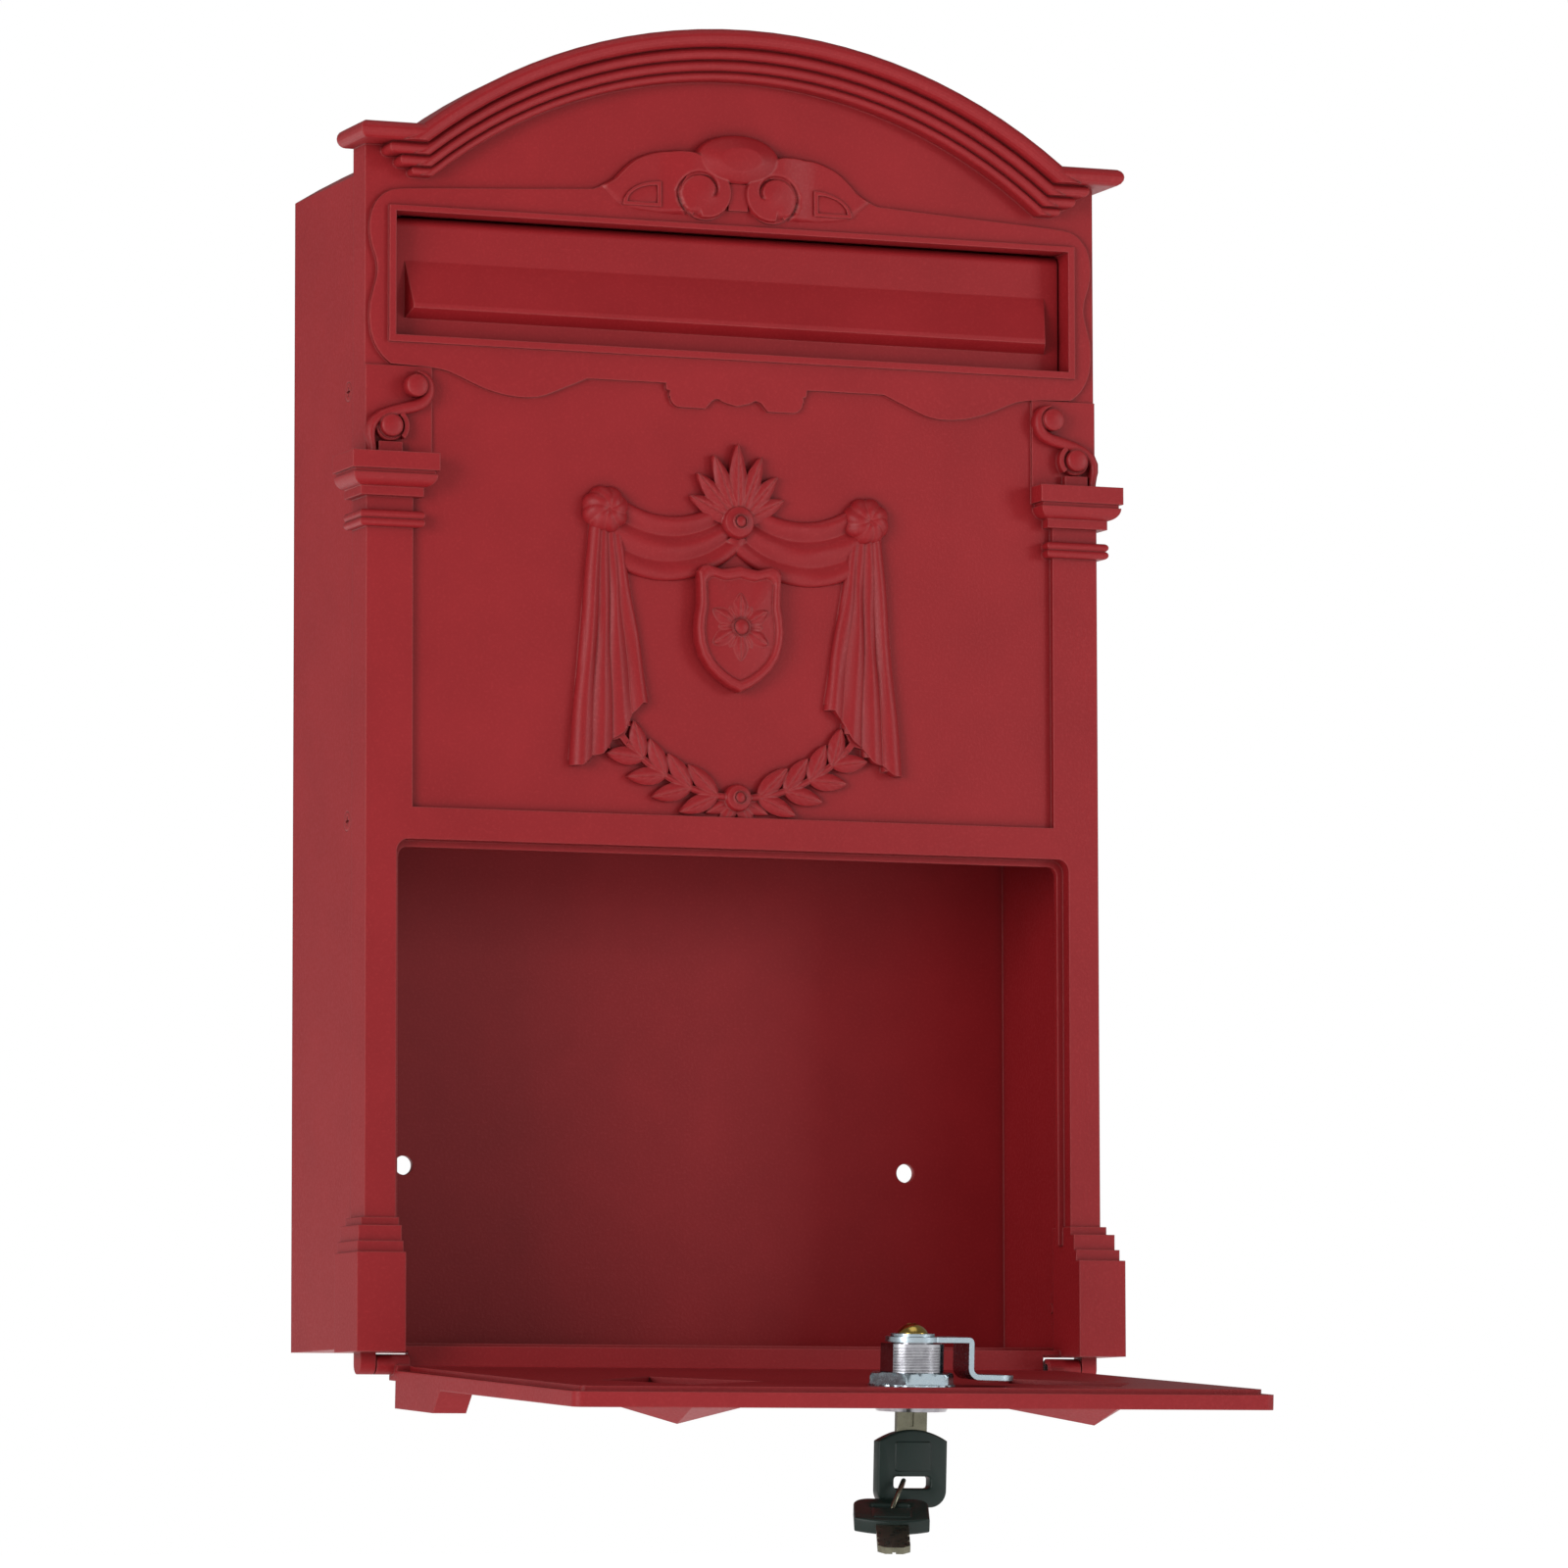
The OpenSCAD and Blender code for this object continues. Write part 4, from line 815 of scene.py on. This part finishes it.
class LetterBoxStage(bpy.types.PropertyGroup):
    floor_gap: FloatProperty(
        name="Floor gap", description="Distance from the lowest key to the floor",
        subtype="DISTANCE", unit="LENGTH", default=0.012, min=0.0, max=1.0,
    )
    ambient: FloatProperty(
        name="Room light", description="Strength of the even light from all round",
        default=0.25, min=0, max=2,
    )
    right_power: FloatProperty(
        name="Right light", description="Power of the soft light at the right",
        subtype="POWER", unit="POWER", default=13, min=0, max=500,
    )
    left_power: FloatProperty(
        name="Left light", description="Power of the soft light at the left",
        subtype="POWER", unit="POWER", default=31, min=0, max=500,
    )
    top_power: FloatProperty(
        name="Top light", description="Power of the soft light overhead",
        subtype="POWER", unit="POWER", default=5, min=0, max=500,
    )
    lens: FloatProperty(
        name="Lens", description="Focal length on a 36 mm sensor",
        unit="CAMERA", default=187.315, min=20, max=400,
    )


# ---------------------------------------------------------------- operators


def finish_named(name):
    """A finish that the first operator has made."""
    found = bpy.data.materials.get(name)
    if found is None:
        raise RuntimeError(f"the finish {name} isn't made yet: run the finishes first")
    return found


class LETTERBOX_OT_finishes(bpy.types.Operator):
    """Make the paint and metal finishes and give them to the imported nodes"""

    bl_idname = "letterbox.finishes"
    bl_label = "Finishes"

    def execute(self, context):
        colours = context.scene.letter_box_colours
        paint = powder_coat(colours)
        # nickel plate on machined brass and stamped steel: warm grey, sharp highlights
        nickel = plated("nickel_plate", colours.nickel, "5C5B62", 0.17, 420.0, 2600.0)
        # blue bright zinc on pressed steel: colder and cloudier than nickel
        zinc = plated("bright_zinc_plate", colours.zinc, "8595A0", 0.25, 650.0, 1900.0)
        # turned brass, left bare: warm yellow with a soft polish
        brass = plated("turned_brass", colours.brass, "7C6630", 0.2, 500.0, 3000.0)
        black = moulded_nylon(colours)
        screws = [n for n in frame["nodes"] if n.startswith("side_screw")]
        dress(["back_box", "front_casting", "letter_flap", "door"] + screws, paint)
        # stamped key steel, dulled by handling: a dark olive grey
        steel = plated("stamped_key_steel", rgb("807E6C"), "45443A", 0.3, 380.0, 2400.0)
        dress(["flap_rod", "hinge_pin_left", "hinge_pin_right", "lock_barrel", "lock_plug"], nickel)
        dress(["key_blade", "spare_key_blade", "key_ring"], steel)
        dress(["lock_nut", "lock_cam", "cam_washer"], zinc)
        dress(["cam_screw"], brass)
        dress(["key_bow", "spare_key_bow"], black)
        return {"FINISHED"}


class LETTERBOX_OT_crest_shield(bpy.types.Operator):
    """Carve the shield in the middle of the crest, with a six petal rose on it"""

    bl_idname = "letterbox.crest_shield"
    bl_label = "Crest Shield"

    def execute(self, context):
        rise = context.scene.letter_box_sizes.leaf_rise / MM
        rose = CREST_Z - 1
        parts = [(shield(), on_front(0, CREST_Z - 2))]
        for turn in range(30, 390, 60):
            petal = on_front(0, rose, turn) @ Matrix.Translation((2, 0, 0))
            sepal = on_front(0, rose, turn + 30) @ Matrix.Translation((1.6, 0, 0))
            parts.append((leaf(8, 4.4, 4.35, rise * 0.8, 3), petal))
            parts.append((leaf(5.2, 3.0, 4.3, rise * 0.5, 2), sepal))
        parts.append((boss(2.9, 5.9, 3.6, 0.86), on_front(0, rose)))
        piece("crest_shield", parts, "case", finish_named("red_powder_coat"))
        return {"FINISHED"}


class LETTERBOX_OT_crest_cloth(bpy.types.Operator):
    """Carve the draped cloth of the crest: swags, knots and falling ends"""

    bl_idname = "letterbox.crest_cloth"
    bl_label = "Crest Cloth"

    def execute(self, context):
        paint = finish_named("red_powder_coat")
        place = on_front(0, CREST_Z)
        piece("crest_swags", both_sides(cloth_swag, place), "case", paint, 50)
        piece("crest_tails", both_sides(cloth_tail, place), "case", paint, 50)
        piece("crest_knots", both_sides(cloth_knot, on_front(43.6, CREST_Z + 34.1)), "case",
            paint, 50)
        return {"FINISHED"}


class LETTERBOX_OT_crest_palmette(bpy.types.Operator):
    """Carve the fan of seven leaves over the shield"""

    bl_idname = "letterbox.crest_palmette"
    bl_label = "Crest Palmette"

    def execute(self, context):
        rise = context.scene.letter_box_sizes.leaf_rise / MM
        root = CREST_Z + 32
        parts = []
        for a in (-64, -42, -21, 0, 21, 42, 64):
            long, plateau = 24 - abs(a) * 0.11, 2.5 - abs(a) * 0.01
            parts.append((leaf(long, 5.6, plateau, rise, 7), on_front(0, root, 90 + a)))
        parts.append((boss(5.3, 4.4), on_front(0, root)))
        parts.append((boss(2.2, 5.3, 3.0, 0.9), on_front(0, root)))
        piece("crest_palmette", parts, "case", finish_named("red_powder_coat"))
        return {"FINISHED"}


class LETTERBOX_OT_crest_sprays(bpy.types.Operator):
    """Carve the two leafy sprays under the shield, with their berries and their tie"""

    bl_idname = "letterbox.crest_sprays"
    bl_label = "Crest Sprays"

    def execute(self, context):
        rise = context.scene.letter_box_sizes.leaf_rise / MM
        parts = []
        bend, drop = 50, -4  # radius of the stems, and how far below the crest's middle it turns
        tie_z = CREST_Z + drop - bend
        for i in range(4):
            a = 278 + i * 10.4
            x, z = bend * math.cos(math.radians(a)), drop + bend * math.sin(math.radians(a))
            for turn in (58, 126):
                place = on_front(x, CREST_Z + z, a + turn)
                parts += both_sides(lambda i=i: leaf(13 - i * 0.5, 5, 1.9, rise * 0.9, 4), place)
            if i:
                b = math.radians(a - 4.4)
                for r in (bend - 3.4, bend + 3.6):
                    place = on_front(r * math.cos(b), CREST_Z + drop + r * math.sin(b))
                    parts += both_sides(lambda: boss(1.15, 1.9, -0.4, 0.3), place)
        stem = arc(0, drop, bend, 267, 317)
        parts += both_sides(lambda: strand(stem, 1.25, 2.5, taper=0.35), on_front(0, CREST_Z))
        for turn in (205, 240):
            place = on_front(0, tie_z, turn)
            parts += both_sides(lambda: leaf(11, 4.2, 0.9, rise * 0.7, 1), place)
        parts.append((boss(4.3, 3.7), on_front(0, tie_z)))
        parts.append((boss(2.0, 4.5, 2.6, 0.88), on_front(0, tie_z)))
        piece("crest_sprays", parts, "case", finish_named("red_powder_coat"))
        return {"FINISHED"}


class LETTERBOX_OT_scrolls(bpy.types.Operator):
    """Round the pair of volutes over the slot and the scroll brackets over the capitals"""

    bl_idname = "letterbox.scrolls"
    bl_label = "Scrolls"

    def execute(self, context):
        paint = finish_named("red_powder_coat")
        scroll = on_front(11.0, 361, 0, 0)
        parts = both_sides(hood, scroll) + both_sides(quarter, on_front(26.8, 356.5, 0, 0))
        parts.append((shell(), on_front(0, 371.7, 0, 0)))
        piece("slot_hood", parts, "case", paint, 60)
        corner = on_front(HALF_W, CAP_TOP, 0, 1.6)
        parts = both_sides(lambda: ribbon(SCROLL_LINE, 3.2), corner)
        disc = [(3.5, -1), (3.5, 3.6), (3.3, 4.1), (2.7, 4.4), (1.2, 4.6), (0.001, 4.65)]
        ring = [(4.7, -1), (4.7, 1.4), (4.5, 1.9), (4.1, 2.1), (3.6, 1.7), (0.001, 1.7)]
        for profile, x, z in ((disc, -15.6, 21.2), (disc, -7.5, 8.5), (ring, -7.5, 8.5)):
            place = on_front(HALF_W + x, CAP_TOP + z, 0, 1.6)
            parts += both_sides(lambda profile=profile: turned(profile, 40), place)
        piece("bracket_scrolls", parts, "case", paint, 55)
        return {"FINISHED"}


class LETTERBOX_OT_lock(bpy.types.Operator):
    """Cut the barrel's thread, chamfer the nut and bend the cam from one strip"""

    bl_idname = "letterbox.lock"
    bl_label = "Lock"

    def execute(self, context):
        sizes = context.scene.letter_box_sizes
        nickel, zinc = finish_named("nickel_plate"), finish_named("bright_zinc_plate")
        thread = barrel_thread(sizes.thread_pitch / MM, sizes.thread_depth / MM)
        piece("barrel_thread", [(thread, LOCK)], "door", nickel, 25)
        obj = piece("nut_and_tooth_washer", [(nut_and_washer(), LOCK)], "door",
            zinc, 30)
        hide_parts("lock_nut")
        obj = piece("bent_cam", [(cam_strip(), LOCK)], "lock", zinc, 40)
        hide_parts("lock_cam")
        return {"FINISHED"}


class LETTERBOX_OT_key_bows(bpy.types.Operator):
    """Mould the two key grips, with their raised panels and the slots for the ring"""

    bl_idname = "letterbox.key_bows"
    bl_label = "Key Bows"

    def execute(self, context):
        black = finish_named("black_moulded_nylon")
        hole = oblong(11.6, 3.5, 0, 15.4, 1.0)
        panel = oblong(11.2, 8.6, 0, 7.8, 0.8)
        keys = (("key_bow", "lock", KEY), ("spare_key_bow", "key_fob", SPARE_KEY))
        for name, body, place in keys:
            parts = [
                (moulded(bow_outline(), hole, 4.4, 0.7), place),
                (moulded(panel, [], 5.0, 0.25), place),
            ]
            obj = piece(name + "_moulding", parts, body, black, 40)
            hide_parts(name)
        return {"FINISHED"}


class LETTERBOX_OT_stage(bpy.types.Operator):
    """Set the pale floor, the soft studio lights, the white surround and the camera"""

    bl_idname = "letterbox.stage"
    bl_label = "Stage"

    def execute(self, context):
        stage = context.scene.letter_box_stage
        scene = context.scene
        low = cad_box[0][2]
        bm = bmesh.new()
        bmesh.ops.create_grid(bm, x_segments=2, y_segments=2, size=7)
        bmesh.ops.translate(bm, verts=bm.verts, vec=(0, 1.5, low - stage.floor_gap))
        mesh = bpy.data.meshes.new("studio_floor")
        bm.to_mesh(mesh)
        bm.free()
        finish, tree, shader, where = blank_finish("painted_studio_floor")
        soft = add_node(tree, "ShaderNodeTexNoise",
            {"Scale": 3.0, "Detail": 2.0}, {"Vector": where})
        tone = add_node(tree, "ShaderNodeMix",
            {"data_type": "RGBA", 6: (*rgb("F4F4F4"), 1), 7: (*rgb("F9F9F8"), 1)},
            {0: soft.outputs["Fac"]})
        tree.links.new(tone.outputs[2], shader.inputs["Base Color"])
        shader.inputs["Roughness"].default_value = 0.9
        # the floor is lit from under, like a sheet of opal glass, so it stays paper white
        shader.inputs["Emission Color"].default_value = (1, 1, 1, 1)
        shader.inputs["Emission Strength"].default_value = 0.85
        mesh.materials.append(finish)
        floor = bpy.data.objects.new("studio_floor", mesh)
        scene.collection.objects.link(floor)

        world = bpy.data.worlds.new("white_surround")
        scene.world = world
        world.use_nodes = True
        tree = world.node_tree
        tree.nodes.clear()
        seen = add_node(tree, "ShaderNodeLightPath")
        paper = (1, 1, 1, 1)
        dim = add_node(tree, "ShaderNodeBackground", {"Color": paper, "Strength": stage.ambient})
        white = add_node(tree, "ShaderNodeBackground", {"Color": paper, "Strength": 1.0})
        mixed = add_node(tree, "ShaderNodeMixShader", None,
            {0: seen.outputs["Is Camera Ray"], 1: dim.outputs[0], 2: white.outputs[0]})
        add_node(tree, "ShaderNodeOutputWorld", None, {"Surface": mixed.outputs[0]})

        lights = [
            ("right_light", (1.6, -1.5, 0.3), 0.6, stage.right_power),
            ("left_light", (-1.9, -1.3, 0.25), 0.9, stage.left_power),
            ("top_light", (0.0, -0.5, 1.7), 1.2, stage.top_power),
        ]
        for name, spot, size, power in lights:
            data = bpy.data.lights.new(name, "AREA")
            data.shape = "SQUARE"
            data.size = size
            data.energy = power
            lamp = bpy.data.objects.new(name, data)
            lamp.location = spot
            aim = Vector((0, -0.05, 0.0)) - Vector(spot)
            lamp.rotation_euler = aim.to_track_quat("-Z", "Y").to_euler()
            scene.collection.objects.link(lamp)

        yaw, pitch, roll = (math.radians(a) for a in CAMERA_TURN)
        level = math.cos(pitch)
        ahead = Vector((math.sin(yaw) * level, math.cos(yaw) * level, math.sin(pitch)))
        right = Vector((math.cos(yaw), -math.sin(yaw), 0))
        up = right.cross(ahead)
        c, d = math.cos(roll), math.sin(roll)
        right, up = right * c + up * d, up * c - right * d
        data = bpy.data.cameras.new("camera")
        data.sensor_width = 36
        data.lens = stage.lens
        data.clip_start = 0.05
        data.clip_end = 60
        camera = bpy.data.objects.new("camera", data)
        turn = Matrix((right, up, -ahead)).transposed().to_4x4()
        camera.matrix_world = Matrix.Translation(CAMERA_AT) @ turn
        scene.collection.objects.link(camera)
        scene.camera = camera
        scene.view_settings.view_transform = "Standard"
        scene.view_settings.look = "None"
        return {"FINISHED"}


class LETTERBOX_PT_panel(bpy.types.Panel):
    """Settings of the letter box, and a button for each step"""

    bl_idname = "LETTERBOX_PT_panel"
    bl_label = "Letter Box"
    bl_space_type = "VIEW_3D"
    bl_region_type = "UI"
    bl_category = "Letter Box"

    def draw(self, context):
        layout = self.layout
        for group in ("letter_box_colours", "letter_box_sizes", "letter_box_stage"):
            settings = getattr(context.scene, group)
            box = layout.box()
            for name in settings.__annotations__:
                box.prop(settings, name)
        for operator in OPERATORS:
            layout.operator(operator.bl_idname)


OPERATORS = (
    LETTERBOX_OT_finishes,
    LETTERBOX_OT_crest_shield,
    LETTERBOX_OT_crest_cloth,
    LETTERBOX_OT_crest_palmette,
    LETTERBOX_OT_crest_sprays,
    LETTERBOX_OT_scrolls,
    LETTERBOX_OT_lock,
    LETTERBOX_OT_key_bows,
    LETTERBOX_OT_stage,
)
GROUPS = {
    "letter_box_colours": LetterBoxColours,
    "letter_box_sizes": LetterBoxSizes,
    "letter_box_stage": LetterBoxStage,
}


def register():
    for cls in (*GROUPS.values(), *OPERATORS, LETTERBOX_PT_panel):
        bpy.utils.register_class(cls)
    for name, group in GROUPS.items():
        setattr(bpy.types.Scene, name, PointerProperty(type=group))


def unregister():
    for name in GROUPS:
        delattr(bpy.types.Scene, name)
    for cls in reversed((*GROUPS.values(), *OPERATORS, LETTERBOX_PT_panel)):
        bpy.utils.unregister_class(cls)


def main():
    register()
    bpy.ops.letterbox.finishes()
    bpy.ops.letterbox.crest_shield()
    bpy.ops.letterbox.crest_cloth()
    bpy.ops.letterbox.crest_palmette()
    bpy.ops.letterbox.crest_sprays()
    bpy.ops.letterbox.scrolls()
    bpy.ops.letterbox.lock()
    bpy.ops.letterbox.key_bows()
    bpy.ops.letterbox.stage()


if __name__ == "__main__":
    main()
